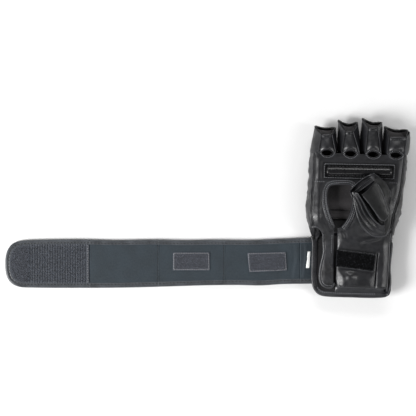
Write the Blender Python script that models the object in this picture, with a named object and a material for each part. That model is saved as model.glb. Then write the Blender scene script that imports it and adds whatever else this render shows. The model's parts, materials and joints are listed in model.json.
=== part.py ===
"""Right-hand MMA glove, lying palm up with its wrist strap opened out flat.

+X runs from the strap's tip to the thumb side, +Y towards the fingers and +Z up, out of the palm.
The drafting grid is in millimetres, and CENTRE is the middle of the whole outline on that grid.
"""
import math
from collections import namedtuple

import bmesh
import bpy
from mathutils import Vector
from mathutils.geometry import delaunay_2d_cdt

MM = 0.001
CENTRE = (-2.65, -0.10)
GAP = 0.4          # left between pieces that touch
LEATHER = 1.6      # thickness of the glove's leather
THIN = 1.2         # thickness of gussets, patches and bindings

# Hand
BACK_RISE = 10.0   # height of the back leather's turned-up sides
PAD_TOP = 16.0     # inner face of the foam
PALM_Z = 32.0      # underside of the palm leather on its plateau
WRIST_DROP = 10.5  # how far the palm leather falls towards the wrist
CUFF_Z = 4.8       # underside of the cuff, above the strap's sewn-down end
HAND_FOOT = -31.0  # where the back of the hand ends and the cuff begins
CUFF_END = -98.5

# Strap
STRAP_HINGES = (116.6, 91.2, 3.0, -66.5)
STRAP_TIP = -232.8
STRAP_TOP = -35.2
STRAP_BOTTOM = -90.2
STRAP_THICK = 4.4
STRAP_SKIN = 2.0
STRAP_RIM = 5.0    # width of the leather turned over each long edge
LINING_TOP = 3.6
HOOK_EDGE = -136.0
LOOP_THICK = 0.8   # loop field under the strap, let into its second stretch

# Side outlines of the glove: (y, x) from the wrist to the fingers
LEFT_SIDE = [(-100, 119), (-80, 119), (-50, 119.6), (-34, 118.6), (-18, 113.6), (-4, 111.3),
             (20, 113), (45, 114.8), (64, 115.2), (92, 119.5)]
RIGHT_SIDE = [(-100, 205), (-85, 207.6), (-68, 206.8), (-50, 208.6), (-30, 211.6), (-4, 219.2),
              (20, 222.3), (45, 225), (64, 227), (92, 230)]
PALM_RIGHT = [(-100, 202.4), (-50, 205.6), (-18, 207), (-4, 209.4), (18, 216), (45, 219.8), (64, 222)]
PALM_SEAM = 5.5    # from the left outline to the palm leather's edge

Finger = namedtuple("Finger", "name base mouth tip strip_base strip_mouth strip_y oval_x")
FINGERS = (
    Finger("little", (115.6, 146.9), (119.8, 143.4), (92.7, 91.0), (124.5, 143.8), (128.1, 139.4), 82.9, 134.3),
    Finger("ring", (147.7, 172.8), (148.0, 170.7), (99.6, 97.3), (150.6, 170.6), (155.1, 163.2), 86.5, 160.5),
    Finger("middle", (173.6, 197.4), (175.4, 198.6), (102.4, 96.7), (177.4, 194.8), (180.6, 191.0), 90.4, 186.0),
    Finger("index", (198.3, 226.0), (200.4, 227.5), (92.2, 87.8), (202.0, 221.6), (204.6, 224.0), 80.0, 211.6),
)
OVAL_HALF = (6.5, 3.6)
FINGER_RISE = 13.0
FINGER_STRIP_Z = 32.4
HINGE_Z = 34.0

# Thumb stall, in its own grid: s back from the mouth, t across it
THUMB_MOUTH = (171.5, 29.0)
THUMB_AXIS = (-0.605, 0.796)
THUMB_HINGE_S = 66.5
THUMB_TOP = 54.0
GRIP_TOP = 40.6    # level on which the stall lies over the grip bar
THUMB_FALL = 0.2   # fall of the front panel for each millimetre of s

CREASE_TOP = (192.4, -51.5)
CREASE_FOOT = (188.9, -97.5)
TONGUE_ROOT = -28.6

ROOT = "glove"
PIVOTS = {
    ROOT: (0.0, 0.0, 0.0),
    "thumb": (THUMB_MOUTH[0] - THUMB_AXIS[0] * THUMB_HINGE_S,
              THUMB_MOUTH[1] - THUMB_AXIS[1] * THUMB_HINGE_S, 26.0),
    "wrist_tab": (191.14, -68.0, 23.1),
    "palm_tongue": (136.0, TONGUE_ROOT + 0.3, 27.2),
    "strap_1": (STRAP_HINGES[0], -62.7, STRAP_THICK),
    "strap_2": (STRAP_HINGES[1], -62.7, STRAP_THICK),
    "strap_3": (STRAP_HINGES[2], -62.7, STRAP_THICK),
    "strap_4": (STRAP_HINGES[3], -62.7, STRAP_THICK),
}

COLOURS = {
    "leather": ((0.040, 0.041, 0.046), 0.38),
    "strap_leather": ((0.075, 0.080, 0.088), 0.45),
    "lining": ((0.024, 0.023, 0.025), 0.85),
    "strap_lining": ((0.042, 0.050, 0.060), 0.75),
    "foam": ((0.030, 0.030, 0.032), 0.95),
    "hook": ((0.052, 0.062, 0.078), 0.70),
    "loop": ((0.007, 0.007, 0.008), 0.98),
    "label": ((0.82, 0.83, 0.82), 0.80),
}


def material(name):
    """The shared Principled material of one kind of stuff."""
    if name not in bpy.data.materials:
        colour, roughness = COLOURS[name]
        made = bpy.data.materials.new(name)
        made.use_nodes = True
        shader = made.node_tree.nodes["Principled BSDF"]
        shader.inputs["Base Color"].default_value = (*colour, 1.0)
        shader.inputs["Roughness"].default_value = roughness
        shader.inputs["Metallic"].default_value = 0.0
    return bpy.data.materials[name]


def on_grid(x, y, z):
    """A drafting-grid point in the part's own frame, in metres."""
    return Vector(((x - CENTRE[0]) * MM, (y - CENTRE[1]) * MM, z * MM))


def knuckle_line(x):
    """The y of the line through the four vents, where the fingers bend."""
    return 62.2 - 0.035 * (x - 130.0)


for finger in FINGERS:
    PIVOTS["finger_" + finger.name] = (finger.oval_x, knuckle_line(finger.oval_x), HINGE_Z)


# ---- small geometry helpers -----------------------------------------------------

def mix(a, b, f):
    return a + (b - a) * f


def ramp(value, start, end):
    """0 before start, 1 after end, and an S-curve between them."""
    f = min(1.0, max(0.0, (value - start) / (end - start)))
    return f * f * (3.0 - 2.0 * f)


def steps(count):
    return [i / count for i in range(count + 1)]


def curve(points, per_span=4):
    """A smooth line through the points, each a tuple of any length."""
    ends = [tuple(2 * a - b for a, b in zip(points[0], points[1])),
            tuple(2 * a - b for a, b in zip(points[-1], points[-2]))]
    knots = [ends[0], *points, ends[1]]
    line = []
    for i in range(1, len(knots) - 2):
        for j in range(per_span):
            f = j / per_span
            line.append(tuple(
                0.5 * (2 * b + (c - a) * f + (2 * a - 5 * b + 4 * c - d) * f * f
                       + (3 * b - a - 3 * c + d) * f ** 3)
                for a, b, c, d in zip(*knots[i - 1:i + 3])))
    line.append(tuple(points[-1]))
    return line


def along(line, f):
    """The point at fraction f of an open line's length."""
    lengths = [math.dist(a, b) for a, b in zip(line, line[1:])]
    left = f * sum(lengths)
    for (a, b), length in zip(zip(line, line[1:]), lengths):
        if left <= length:
            return tuple(mix(p, q, left / length) for p, q in zip(a, b))
        left -= length
    return line[-1]


def lookup(table, y):
    """The x of a side outline at y."""
    for (y0, x0), (y1, x1) in zip(table, table[1:]):
        if y <= y1:
            return mix(x0, x1, max(0.0, (y - y0) / (y1 - y0)))
    return table[-1][1]


def moved_sideways(line, distance):
    """An open 2-D line moved to its left by a distance."""
    result = []
    for i, (x, y) in enumerate(line):
        (x0, y0), (x1, y1) = line[max(i - 1, 0)], line[min(i + 1, len(line) - 1)]
        length = math.hypot(x1 - x0, y1 - y0)
        result.append((x - (y1 - y0) / length * distance, y + (x1 - x0) / length * distance))
    return result


def inside(point, outline):
    x, y = point
    hit = False
    for (x0, y0), (x1, y1) in zip(outline, outline[1:] + outline[:1]):
        if (y0 > y) != (y1 > y) and x < x0 + (y - y0) / (y1 - y0) * (x1 - x0):
            hit = not hit
    return hit


def edge_distance(point, outline):
    best = 1e9
    for a, b in zip(outline, outline[1:] + outline[:1]):
        ab = Vector(b) - Vector(a)
        f = min(1.0, max(0.0, (Vector(point) - Vector(a)).dot(ab) / ab.length_squared))
        best = min(best, (Vector(a) + ab * f - Vector(point)).length)
    return best


# ---- builders of closed solids ----------------------------------------------------

EMPTIES = {}


def body_empty(body):
    """The empty on a body's joint axis, which its pieces hang from."""
    if body not in EMPTIES:
        empty = bpy.data.objects.new("pivot_" + body, None)
        empty.location = on_grid(*PIVOTS[body])
        bpy.context.scene.collection.objects.link(empty)
        EMPTIES[body] = empty
    return EMPTIES[body]


def add_piece(name, points, faces, stuff, body):
    """One closed solid from grid points and faces, hung from its body's empty."""
    pivot = on_grid(*PIVOTS[body])
    mesh = bpy.data.meshes.new(name)
    mesh.from_pydata([on_grid(*p) - pivot for p in points], [], faces)
    work = bmesh.new()
    work.from_mesh(mesh)
    bmesh.ops.recalc_face_normals(work, faces=work.faces)
    work.to_mesh(mesh)
    work.free()
    mesh.shade_smooth()
    mesh.set_sharp_from_angle(angle=math.radians(40))
    mesh.materials.append(material(stuff))
    piece = bpy.data.objects.new(name, mesh)
    bpy.context.scene.collection.objects.link(piece)
    piece.parent = body_empty(body)
    return piece


def slab(name, upper, lower, stuff, body=ROOT):
    """The solid between two grids of points with the same rows and columns."""
    rows, columns = len(upper), len(upper[0])
    points = [p for row in upper for p in row] + [p for row in lower for p in row]
    half = rows * columns

    def at(i, j):
        return i * columns + j

    faces = []
    for i in range(rows - 1):
        for j in range(columns - 1):
            quad = [at(i, j), at(i, j + 1), at(i + 1, j + 1), at(i + 1, j)]
            faces.append(quad)
            faces.append([half + k for k in reversed(quad)])
    rim = [at(0, j) for j in range(columns)]
    rim += [at(i, columns - 1) for i in range(1, rows)]
    rim += [at(rows - 1, j) for j in range(columns - 2, -1, -1)]
    rim += [at(i, 0) for i in range(rows - 2, 0, -1)]
    for a, b in zip(rim, rim[1:] + rim[:1]):
        faces.append([b, a, half + a, half + b])
    return add_piece(name, points, faces, stuff, body)


def sheet(name, outline, underside, thickness, stuff, body=ROOT, spacing=9.0, holes=()):
    """A sheet cut to an outline, whose underside follows a height function of x and y."""
    loops = [list(outline), *[list(hole) for hole in holes]]
    points, edges = [], []
    for loop in loops:
        first = len(points)
        points += loop
        edges += [(first + i, first + (i + 1) % len(loop)) for i in range(len(loop))]
    xs, ys = [p[0] for p in outline], [p[1] for p in outline]
    y = min(ys) + spacing / 2
    while y < max(ys):
        x = min(xs) + spacing / 2
        while x < max(xs):
            clear = all(edge_distance((x, y), loop) > spacing * 0.45 for loop in loops)
            if clear and inside((x, y), outline) and not any(inside((x, y), hole) for hole in holes):
                points.append((x, y))
            x += spacing
        y += spacing
    flat, _, triangles, _, _, _ = delaunay_2d_cdt([Vector(p) for p in points], edges, [], 0, 1e-4)
    kept = []
    for triangle in triangles:
        middle = sum((flat[i] for i in triangle), Vector((0.0, 0.0))) / 3
        if inside(middle, outline) and not any(inside(middle, hole) for hole in holes):
            kept.append(triangle)
    count = len(flat)
    solid = [(p.x, p.y, underside(p.x, p.y)) for p in flat]
    solid += [(x, y, z + thickness) for x, y, z in solid]
    faces = [list(reversed(t)) for t in kept] + [[count + i for i in t] for t in kept]
    sides = {}
    for triangle in kept:
        for a, b in zip(triangle, list(triangle[1:]) + [triangle[0]]):
            sides[(a, b)] = True
    faces += [[a, b, count + b, count + a] for a, b in sides if (b, a) not in sides]
    return add_piece(name, solid, faces, stuff, body)


def tube(name, path, radius, stuff, body=ROOT, sides=8):
    """A round cord along a path of grid points, with flat ends."""
    points, faces = [], []
    for i, point in enumerate(path):
        ahead, behind = path[min(i + 1, len(path) - 1)], path[max(i - 1, 0)]
        forward = (Vector(ahead) - Vector(behind)).normalized()
        across = forward.cross(Vector((0, 0, 1))).normalized()
        upward = across.cross(forward)
        for k in range(sides):
            turn = 2 * math.pi * k / sides
            points.append(tuple(Vector(point) + (across * math.cos(turn) + upward * math.sin(turn)) * radius))
    for i in range(len(path) - 1):
        for k in range(sides):
            a, b = i * sides + k, i * sides + (k + 1) % sides
            faces.append([a, b, b + sides, a + sides])
    faces.append(list(range(sides)))
    faces.append([len(points) - 1 - k for k in range(sides)])
    return add_piece(name, points, faces, stuff, body)


def raised(grid, height):
    return [[(x, y, z + height) for x, y, z in row] for row in grid]


# ---- surfaces of the glove -------------------------------------------------------

def left_side(y):
    return lookup(LEFT_SIDE, y)


def right_side(y):
    return lookup(RIGHT_SIDE, y)


def palm_height(x, y):
    """Underside of the palm leather: a plateau that falls to the wrist and to the side seams."""
    wrist = WRIST_DROP * (1.0 - ramp(y, -45.0, -6.0))
    edge = min(x - left_side(y), right_side(y) - x)
    side = 4.0 * (1.0 - min(edge, 14.0) / 14.0) ** 2
    return PALM_Z - wrist - side


def back_floor(y):
    """Height of the back leather, which steps up to meet the cuff."""
    return (CUFF_Z + GAP) * (1.0 - ramp(y, HAND_FOOT, -12.0))


def turned_up(f):
    """0 over the flat middle of a width, rising to 1 at its sides, f = -1 and f = 1."""
    return max(0.0, (abs(f) - 0.62) / 0.38) ** 2.6


# ---- hand ------------------------------------------------------------------------

WIDTH_STOPS = (-1.0, -0.96, -0.9, -0.8, -0.62, 0.0, 0.62, 0.8, 0.9, 0.96, 1.0)


def back_grid(start, end, inward, lift, rise, stops=WIDTH_STOPS, rows=7):
    """Rows of the dished back of the hand, inward from the side outlines and lifted off the floor."""
    grid = []
    for v in steps(rows):
        row = []
        for f in stops:
            y_mid = mix(start, min(end, 60.0), v)
            left, right = left_side(y_mid) + inward, right_side(y_mid) - inward
            x = mix(left, right, (f + 1) / 2)
            y = mix(start, min(end, knuckle_line(x) - 0.6), v)
            row.append((x, y, back_floor(y) + lift + rise * turned_up(f)))
        grid.append(row)
    return grid


def make_back():
    outer = back_grid(HAND_FOOT, 70.0, 1.2, 0.0, BACK_RISE)
    inner = back_grid(HAND_FOOT, 70.0, 1.2 + LEATHER, LEATHER, BACK_RISE - LEATHER)
    slab("back_cover", inner, outer, "leather")


def make_hand_pads():
    """Two foam blocks with a bend between them, in the dish of the back leather."""
    inward = 1.2 + LEATHER + 1.8
    lift = LEATHER + 2 * GAP
    for name, start, end in (("hand_pad", HAND_FOOT + 3.0, 17.0), ("knuckle_pad", 20.0, 70.0)):
        lower = back_grid(start, end, inward, lift, 7.0, rows=5)
        upper = [[(x, y, PAD_TOP - 1.2 * turned_up(f)) for (x, y, z), f in zip(row, WIDTH_STOPS)]
                 for row in lower]
        slab(name, upper, lower, "foam")


def flat_plate(name, x0, x1, y0, y1, z, thickness, stuff, body=ROOT):
    lower = [[(x, y, z) for x in (x0, x1)] for y in (y0, y1)]
    return slab(name, raised(lower, thickness), lower, stuff, body)


def make_linings():
    """Fabric over the foam. Its front layer ends under the palm hole, over a second band."""
    flat_plate("lining_band", 122.0, 203.0, -13.0, 8.0, PAD_TOP + GAP, 1.1, "lining")
    rows = [(y, left_side(y) + 6.0, right_side(y) - 6.0) for y in (-1.5, 20.0, 40.0, 58.0)]
    lower = []
    for y, left, right in rows:
        lower.append([(mix(left, right, f), y, PAD_TOP + 2.0 + 3.0 * abs(2 * f - 1) ** 4) for f in steps(6)])
    slab("hand_lining", raised(lower, 1.1), lower, "lining")


def side_grids(side, rows, palm_edge):
    """Outer and inner grids of a side panel that bulges between the back and the palm."""
    outer, inner = [], []
    for y in rows:
        edge = left_side(y) if side < 0 else right_side(y)
        top = palm_edge(y)
        foot_z = back_floor(y) + BACK_RISE + 2 * GAP
        head_z = palm_height(top, y) + 0.2
        foot = (edge - side * 1.2, foot_z)
        bulge = (edge, mix(foot_z, head_z, 0.36))
        shoulder = (mix(edge, top, 0.28), mix(foot_z, head_z, 0.78))
        head = (top + side * (LEATHER + GAP), head_z)
        line = curve([foot, bulge, shoulder, head], 2)
        outer.append([(x, y, z) for x, z in line])
        shifted = moved_sideways(line, side * LEATHER)
        inner.append([(x, y, z) for x, z in shifted])
    return outer, inner


def make_side_panels():
    left_rows = [mix(-27.5, knuckle_line(115) - 0.6, v) for v in steps(8)]
    outer, inner = side_grids(-1, left_rows, lambda y: left_side(y) + PALM_SEAM)
    slab("side_panel_little", outer, inner, "leather")
    right_rows = [mix(HAND_FOOT, knuckle_line(226) - 0.6, v) for v in steps(8)]
    outer, inner = side_grids(1, right_rows, lambda y: lookup(PALM_RIGHT, y))
    slab("side_panel_thumb", outer, inner, "leather")


HOLE_LEFT = [(142.4, -21.5), (137.4, -9.0), (134.3, 2.0), (133.4, 12.0), (134.4, 21.0)]
HOLE_RIGHT = [(163.0, 23.5), (164.1, 13.0), (162.9, 2.0), (160.4, -7.5), (156.4, -15.7), (151.7, -21.9)]


def palm_hole():
    """The D-shaped hole's rim, from the slit up the left side, over the top and down the right."""
    top = [(138.6, 26.0), (149.0, 27.2), (159.4, 26.8)]
    return curve([*HOLE_LEFT, *top, *HOLE_RIGHT], 2)


def vent_notch(finger, half, up):
    """Half of a finger's vent, from left to right, as a notch in the edge at the knuckle line."""
    edge = 0.5 * up
    points = []
    for f in (-1.0, -0.62, 0.0, 0.62, 1.0):
        x = finger.oval_x + f * half
        depth = max(0.0, 1 - f * f) * OVAL_HALF[1] + abs(edge) * abs(f)
        points.append((x, knuckle_line(x) + up * max(depth, abs(edge))))
    return points


def thumb_point(s, t):
    """A point of the thumb stall's own grid on the drafting grid."""
    ax, ay = THUMB_AXIS
    return (THUMB_MOUTH[0] - ax * s + ay * t, THUMB_MOUTH[1] - ay * s - ax * t)


def make_palm():
    """One piece of leather round the palm hole, down to the right side of the cuff."""
    outline = [(left_side(y) + PALM_SEAM, y) for y in (-24.0, -18.0, -4.0, 20.0, 45.0)]
    x_left = left_side(60.0) + PALM_SEAM
    outline.append((x_left, knuckle_line(x_left) - 0.5))
    for finger in FINGERS:
        outline += vent_notch(finger, OVAL_HALF[0], -1)
    x_right = lookup(PALM_RIGHT, 60.0)
    outline.append((x_right, knuckle_line(x_right) - 0.5))
    outline += [(lookup(PALM_RIGHT, y), y) for y in (45.0, 18.0, -4.0, -18.0, -50.0, -74.0, CUFF_END + 2.0)]
    outline += [(CREASE_FOOT[0] + 0.4, CREASE_FOOT[1] + 1.5), (CREASE_TOP[0] + 0.4, CREASE_TOP[1])]
    outline += [(CREASE_TOP[0] + 0.4, CREASE_TOP[1] + 0.6), (146.2, -45.0), (146.4, -22.5)]
    outline += list(reversed(palm_hole()))
    outline += [(142.4, TONGUE_ROOT + 0.6), (129.6, TONGUE_ROOT + 0.6), (124.0, -25.4)]
    thumb_hole = [thumb_point(48.0 + 14.0 * math.cos(a), -11.0 + 10.0 * math.sin(a))
                  for a in [2 * math.pi * k / 14 for k in range(14)]]
    sheet("palm_panel", outline, palm_height, LEATHER, "leather", holes=[thumb_hole])


def make_hole_binding():
    """Bound strip on the leather round the palm hole."""
    rim = palm_hole()
    inner = moved_sideways(rim, 0.6)
    outer = moved_sideways(rim, 4.2)
    lower = []
    for near, far in zip(inner, outer):
        mid = ((near[0] + far[0]) / 2, (near[1] + far[1]) / 2)
        row = [near, mid, far]
        lower.append([(x, y, palm_height(x, y) + LEATHER + GAP) for x, y in row])
    upper = [[(x, y, z + h) for (x, y, z), h in zip(row, (0.7, 1.1, 0.7))] for row in lower]
    slab("palm_hole_binding", upper, lower, "leather")


def make_grip():
    """Stitched patch below the fingers, with a padded bar along it."""
    level = PALM_Z + LEATHER + GAP
    corners = [(129.8, 51.1), (129.3, 32.8), (210.2, 31.2), (211.3, 49.5)]
    sheet("grip_patch", corners, lambda x, y: level, THIN, "leather", spacing=30.0)
    base = level + THIN + GAP
    lower, upper = [], []
    for f in (0.0, 0.02, 0.05, 0.5, 0.95, 0.98, 1.0):
        x = mix(133.9, 205.7, f)
        middle = mix(39.9, 38.2, f)
        round_end = {0.0: 0.45, 0.02: 0.8, 0.05: 1.0, 0.5: 1.0, 0.95: 1.0, 0.98: 0.8, 1.0: 0.45}[f]
        angles = [math.radians(-80 + 160 * k / 8) for k in range(9)]
        upper.append([(x, middle + 6.1 * math.sin(a), base + 4.6 * math.cos(a) * round_end) for a in angles])
        lower.append([(x, middle + 6.1 * math.sin(a), base) for a in angles])
    slab("grip_bar", upper, lower, "leather")


# ---- fingers -----------------------------------------------------------------------

def finger_grid(finger, inward, lift, angles, rows=6):
    """Rows of the curled back lobe, from the knuckle line to the mouth."""
    grid = []
    for v in steps(rows):
        left = mix(finger.base[0], finger.mouth[0], v) + inward
        right = mix(finger.base[1], finger.mouth[1], v) - inward
        half, mid = (right - left) / 2, (right + left) / 2
        row = []
        for angle in angles:
            f = math.copysign(abs(math.sin(angle)) ** 0.8, angle)
            x = mid + half * f
            tip = mix(finger.tip[0], finger.tip[1], (f + 1) / 2) - 2.6 * (1 - f * f)
            y = mix(knuckle_line(x) + 0.6, tip, v)
            rise = (FINGER_RISE - lift) * (1 - math.cos(angle))
            row.append((x, y, finger_floor(v) + lift + rise))
        grid.append(row)
    return grid


def finger_floor(v):
    """The back lobe rises a little towards the finger's mouth."""
    return 5.0 * v * v


def make_finger_back(finger):
    body = "finger_" + finger.name
    full = [math.radians(-90 + 180 * k / 10) for k in range(11)]
    outer = finger_grid(finger, 0.0, 0.0, full)
    inner = finger_grid(finger, LEATHER, LEATHER, full)
    slab(body + "_cover", inner, outer, "leather", body)
    within = [math.radians(-66 + 132 * k / 8) for k in range(9)]
    lower = finger_grid(finger, LEATHER + GAP, LEATHER + GAP, within, rows=5)
    upper = [[(x, y - 1.5 * v, finger_floor(v) + FINGER_RISE - 1.5) for x, y, z in row]
             for row, v in zip(lower, steps(5))]
    lower = [[(x, y - 1.5 * v, z) for x, y, z in row] for row, v in zip(lower, steps(5))]
    slab(body + "_pad", upper, lower, "foam", body)


def strip_height(x, y):
    return FINGER_STRIP_Z - 0.05 * (y - 62.0)


def make_finger_strip(finger):
    """Tapered palm-side strip whose root is notched by the upper half of the vent."""
    left, right = finger.strip_base
    outline = [(left, knuckle_line(left) + 0.5), *vent_notch(finger, OVAL_HALF[0], 1),
               (right, knuckle_line(right) + 0.5),
               (finger.strip_mouth[1], finger.strip_y), (finger.strip_mouth[0], finger.strip_y)]
    body = "finger_" + finger.name
    sheet(body + "_strip", outline, strip_height, LEATHER, "leather", body, spacing=6.0)


def make_gusset(finger, side):
    """Side wall of a finger stall, from the back lobe's edge up to the palm strip."""
    index = 0 if side < 0 else 1
    body = "finger_" + finger.name
    outer, inner = [], []
    for v in steps(4):
        foot_x = mix(finger.base[index], finger.mouth[index], v) - side * 0.2
        head_x = mix(finger.strip_base[index], finger.strip_mouth[index], v)
        foot_y = mix(knuckle_line(foot_x) + 0.6, finger.tip[index] - 0.8, v)
        head_y = mix(knuckle_line(head_x) + 0.6, finger.strip_y, v)
        foot_z = finger_floor(v) + FINGER_RISE + GAP
        head_z = strip_height(head_x, head_y) - GAP
        row = []
        for w in steps(4):
            x = mix(foot_x, head_x, w ** 1.5)
            row.append((x, mix(foot_y, head_y, w), mix(foot_z, head_z, w)))
        outer.append(row)
        inner.append([(x - side * THIN, y, z) for x, y, z in row])
    name = "%s_gusset_%s" % (body, "left" if side < 0 else "right")
    slab(name, outer, inner, "leather", body)


def make_fingers():
    for finger in FINGERS:
        make_finger_back(finger)
        make_finger_strip(finger)
        make_gusset(finger, -1)
        make_gusset(finger, 1)


# ---- thumb ---------------------------------------------------------------------------

def thumb_rest(x, y):
    """The level that the folded stall lies on: the palm leather, then the grip bar."""
    low = palm_height(x, y) + LEATHER + 2.0
    return mix(low, GRIP_TOP, ramp(y, 17.0, 29.0))


def thumb_front_height(s):
    return THUMB_TOP - THUMB_FALL * s


FRONT_LEFT = [(9.5, -8.8), (20.0, -8.4), (32.0, -8.3), (43.5, -8.6), (48.4, -7.4)]
FRONT_RIGHT = [(49.8, -3.6), (46.6, 0.9), (33.9, 6.0), (21.5, 9.8), (8.0, 12.1)]
STALL_LEFT = [(0.6, -16.8), (14.0, -20.5), (30.0, -26.4), (44.0, -27.6), (56.0, -24.6), (63.5, -17.0)]
STALL_RIGHT = [(64.3, -14.6), (61.0, -5.0), (50.0, 3.0), (36.0, 12.0), (29.5, 17.6), (14.0, 17.6), (0.6, 16.6)]


def make_thumb_front():
    """Smooth tongue-shaped panel on top of the stall."""
    left, right = curve(FRONT_LEFT, 2), curve(FRONT_RIGHT, 2)
    lower = []
    for f in steps(8):
        a, b = along(left, f), along(right, 1 - f)
        row = []
        for w in steps(6):
            s, t = mix(a[0], b[0], w), mix(a[1], b[1], w)
            crown = 1.6 * math.sin(math.pi * w)
            row.append((*thumb_point(s, t), thumb_front_height(s) + crown))
        lower.append(row)
    slab("thumb_front", raised(lower, 1.4), lower, "leather", "thumb")


def make_thumb_gusset(name, inner_line, outer_line):
    """Side of the stall, from the front panel's edge down to the palm."""
    inner_curve, outer_curve = curve(inner_line, 3), curve(outer_line, 3)
    lower = []
    for f in steps(9):
        near, far = along(inner_curve, f), along(outer_curve, f)
        row = []
        for w in steps(4):
            s, t = mix(near[0], far[0], w), mix(near[1], far[1], w)
            x, y = thumb_point(s, t)
            top = thumb_front_height(near[0]) - 1.1
            foot = thumb_rest(*thumb_point(*far)) + 2.4
            row.append((x, y, mix(top, foot, w) + 1.2 * math.sin(math.pi * w)))
        lower.append(row)
    slab(name, raised(lower, 1.4), lower, "leather", "thumb")


def make_thumb():
    make_thumb_front()
    make_thumb_gusset("thumb_gusset_left", [(s, t - 0.8) for s, t in FRONT_LEFT] + [(51.2, -6.4)], STALL_LEFT)
    make_thumb_gusset("thumb_gusset_right", [(51.4, -4.6), (48.4, 1.6), (34.6, 7.0), (21.9, 10.8), (8.2, 13.1)],
                      STALL_RIGHT)
    lower = []
    for s in (0.4, 6.0, 12.0, 18.0, 24.0, 30.0):
        row = []
        for f in steps(5):
            x, y = thumb_point(s, mix(-16.2 - s * 0.3, 16.0, f))
            row.append((x, y, thumb_rest(x, y) + GAP))
        lower.append(row)
    slab("thumb_back", raised(lower, 1.2), lower, "leather", "thumb")


# ---- wrist -----------------------------------------------------------------------------

def cuff_grid(inward, lift, rises, end=CUFF_END):
    """Rows of the cuff, inward from its left and right edges and lifted off the strap's end."""
    grid = []
    for v in steps(6):
        y = mix(HAND_FOOT - 0.6, end, v)
        left, right = left_side(y) + 1.2 + inward[0], right_side(y) - inward[1]
        row = []
        for f in WIDTH_STOPS:
            rise = rises[0] if f < 0 else rises[1]
            hem = 3.0 * ramp(y, -90.0, CUFF_END)
            row.append((mix(left, right, (f + 1) / 2), y, CUFF_Z + lift + hem + rise * turned_up(f)))
        grid.append(row)
    return grid


def make_cuff():
    outer = cuff_grid((0.0, 0.0), 0.4, (4.0, 9.6))
    inner = cuff_grid((1.4, 1.4), 1.8, (2.6, 8.2))
    slab("cuff_cover", inner, outer, "leather")
    lower = cuff_grid((3.2, 9.0), 1.8 + 2 * GAP, (1.6, 2.2), end=CUFF_END + 11.5)
    upper = [[(x, y, 11.2) for x, y, z in row] for row in lower]
    slab("cuff_pad", upper, lower, "foam")
    lower = [[(x, y, z + GAP) for x, y, z in row] for row in upper]
    slab("cuff_lining", raised(lower, 1.0), lower, "lining")


def make_cuff_binding():
    """Piping along the free left edge of the cuff, round its corner and along its bottom."""
    z = 12.6
    route = [(119.0, -33.8, z), (119.9, -42.0, z), (119.3, -62.0, z), (119.2, -82.0, z), (121.6, -92.0, z),
             (128.0, -98.2, z), (139.2, -100.0, z), (162.0, -100.7, z), (185.0, -101.4, z), (204.0, -99.8, z)]
    tube("cuff_binding", curve(route, 2), 1.2, "leather")


def tongue_height(x, y):
    return palm_height(x, y) - 6.5 * (1.0 - ramp(y, -92.0, -34.0))


TONGUE_EDGE = [(125.0, -28.6), (129.4, -31.0), (130.4, -38.0), (131.2, -50.4), (128.2, -65.6), (127.0, -77.0),
               (129.0, -86.0), (134.7, -90.2), (140.4, -90.2), (143.8, -86.0)]


def make_tongue():
    """Free flap left of the slit, piped along its outer edge."""
    body = "palm_tongue"
    edge = [p for p in curve(TONGUE_EDGE, 2) if p[1] < -32.0]
    sheet_edge = moved_sideways(edge, 1.7)
    outline = [(142.4, TONGUE_ROOT), (131.8, TONGUE_ROOT), *sheet_edge, (142.9, -80.0), (142.6, -50.0)]
    sheet("palm_tongue", outline, tongue_height, LEATHER, "leather", body)
    path = [(x, y, tongue_height(x, y) + LEATHER / 2) for x, y in curve(TONGUE_EDGE[1:], 2)]
    tube("tongue_binding", path, 1.2, "leather", body)


def make_tab():
    """Flap right of the slit that opens about the crease, with the loop patch on it."""
    body = "wrist_tab"
    crease = [(CREASE_TOP[0] - 0.4, CREASE_TOP[1] - 0.4), (CREASE_FOOT[0] - 0.4, CREASE_FOOT[1] + 1.4)]
    outline = [(146.4, -45.8), *reversed([crease[1], crease[0]]), (168.0, -96.2), (148.0, -95.4), (145.4, -80.0)]
    sheet("wrist_tab", outline, palm_height, LEATHER, "leather", body, spacing=14.0)
    level = PALM_Z - WRIST_DROP + LEATHER + GAP
    corners = [(146.0, -47.0), (144.9, -66.4), (187.6, -72.0), (189.6, -52.4)]
    sheet("tab_loop_patch", corners, lambda x, y: level, THIN, "loop", body, spacing=30.0)


def make_back_loop():
    """Loop patch under the cuff, on the back of the wrist."""
    flat_plate("back_loop_patch", 164.0, 200.0, -75.0, -51.0, CUFF_Z - 1.0, 1.0, "loop")


# ---- strap -----------------------------------------------------------------------------

def tip_outline(inset):
    """Rounded end of the strap, from its top edge round the tip to its bottom edge."""
    radius = 24.0
    x0 = STRAP_TIP + inset
    top, bottom = STRAP_TOP - inset, STRAP_BOTTOM + inset
    turns = [math.radians(90 + 90 * k / 5) for k in range(6)]
    round_part = [(x0 + radius + radius * math.cos(a), top - radius + radius * math.sin(a)) for a in turns]
    round_part += [(x, top + bottom - y) for x, y in reversed(round_part)]
    return round_part


def strap_section(y_stops, x, profile):
    return [(x, y, z) for y, z in zip(y_stops, profile)]


def make_strap_leather(name, x_right, x_left, body, low=0.0):
    """Leather turned over the strap's two long edges, as a shallow channel."""
    y_stops = (STRAP_TOP, STRAP_TOP - STRAP_RIM, STRAP_TOP - STRAP_RIM - 0.2,
               STRAP_BOTTOM + STRAP_RIM + 0.2, STRAP_BOTTOM + STRAP_RIM, STRAP_BOTTOM)
    top = (STRAP_THICK, STRAP_THICK, STRAP_SKIN, STRAP_SKIN, STRAP_THICK, STRAP_THICK)
    upper = [strap_section(y_stops, x, top) for x in (x_right, x_left)]
    lower = [strap_section(y_stops, x, [low] * 6) for x in (x_right, x_left)]
    slab(name, upper, lower, "strap_leather", body)


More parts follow.
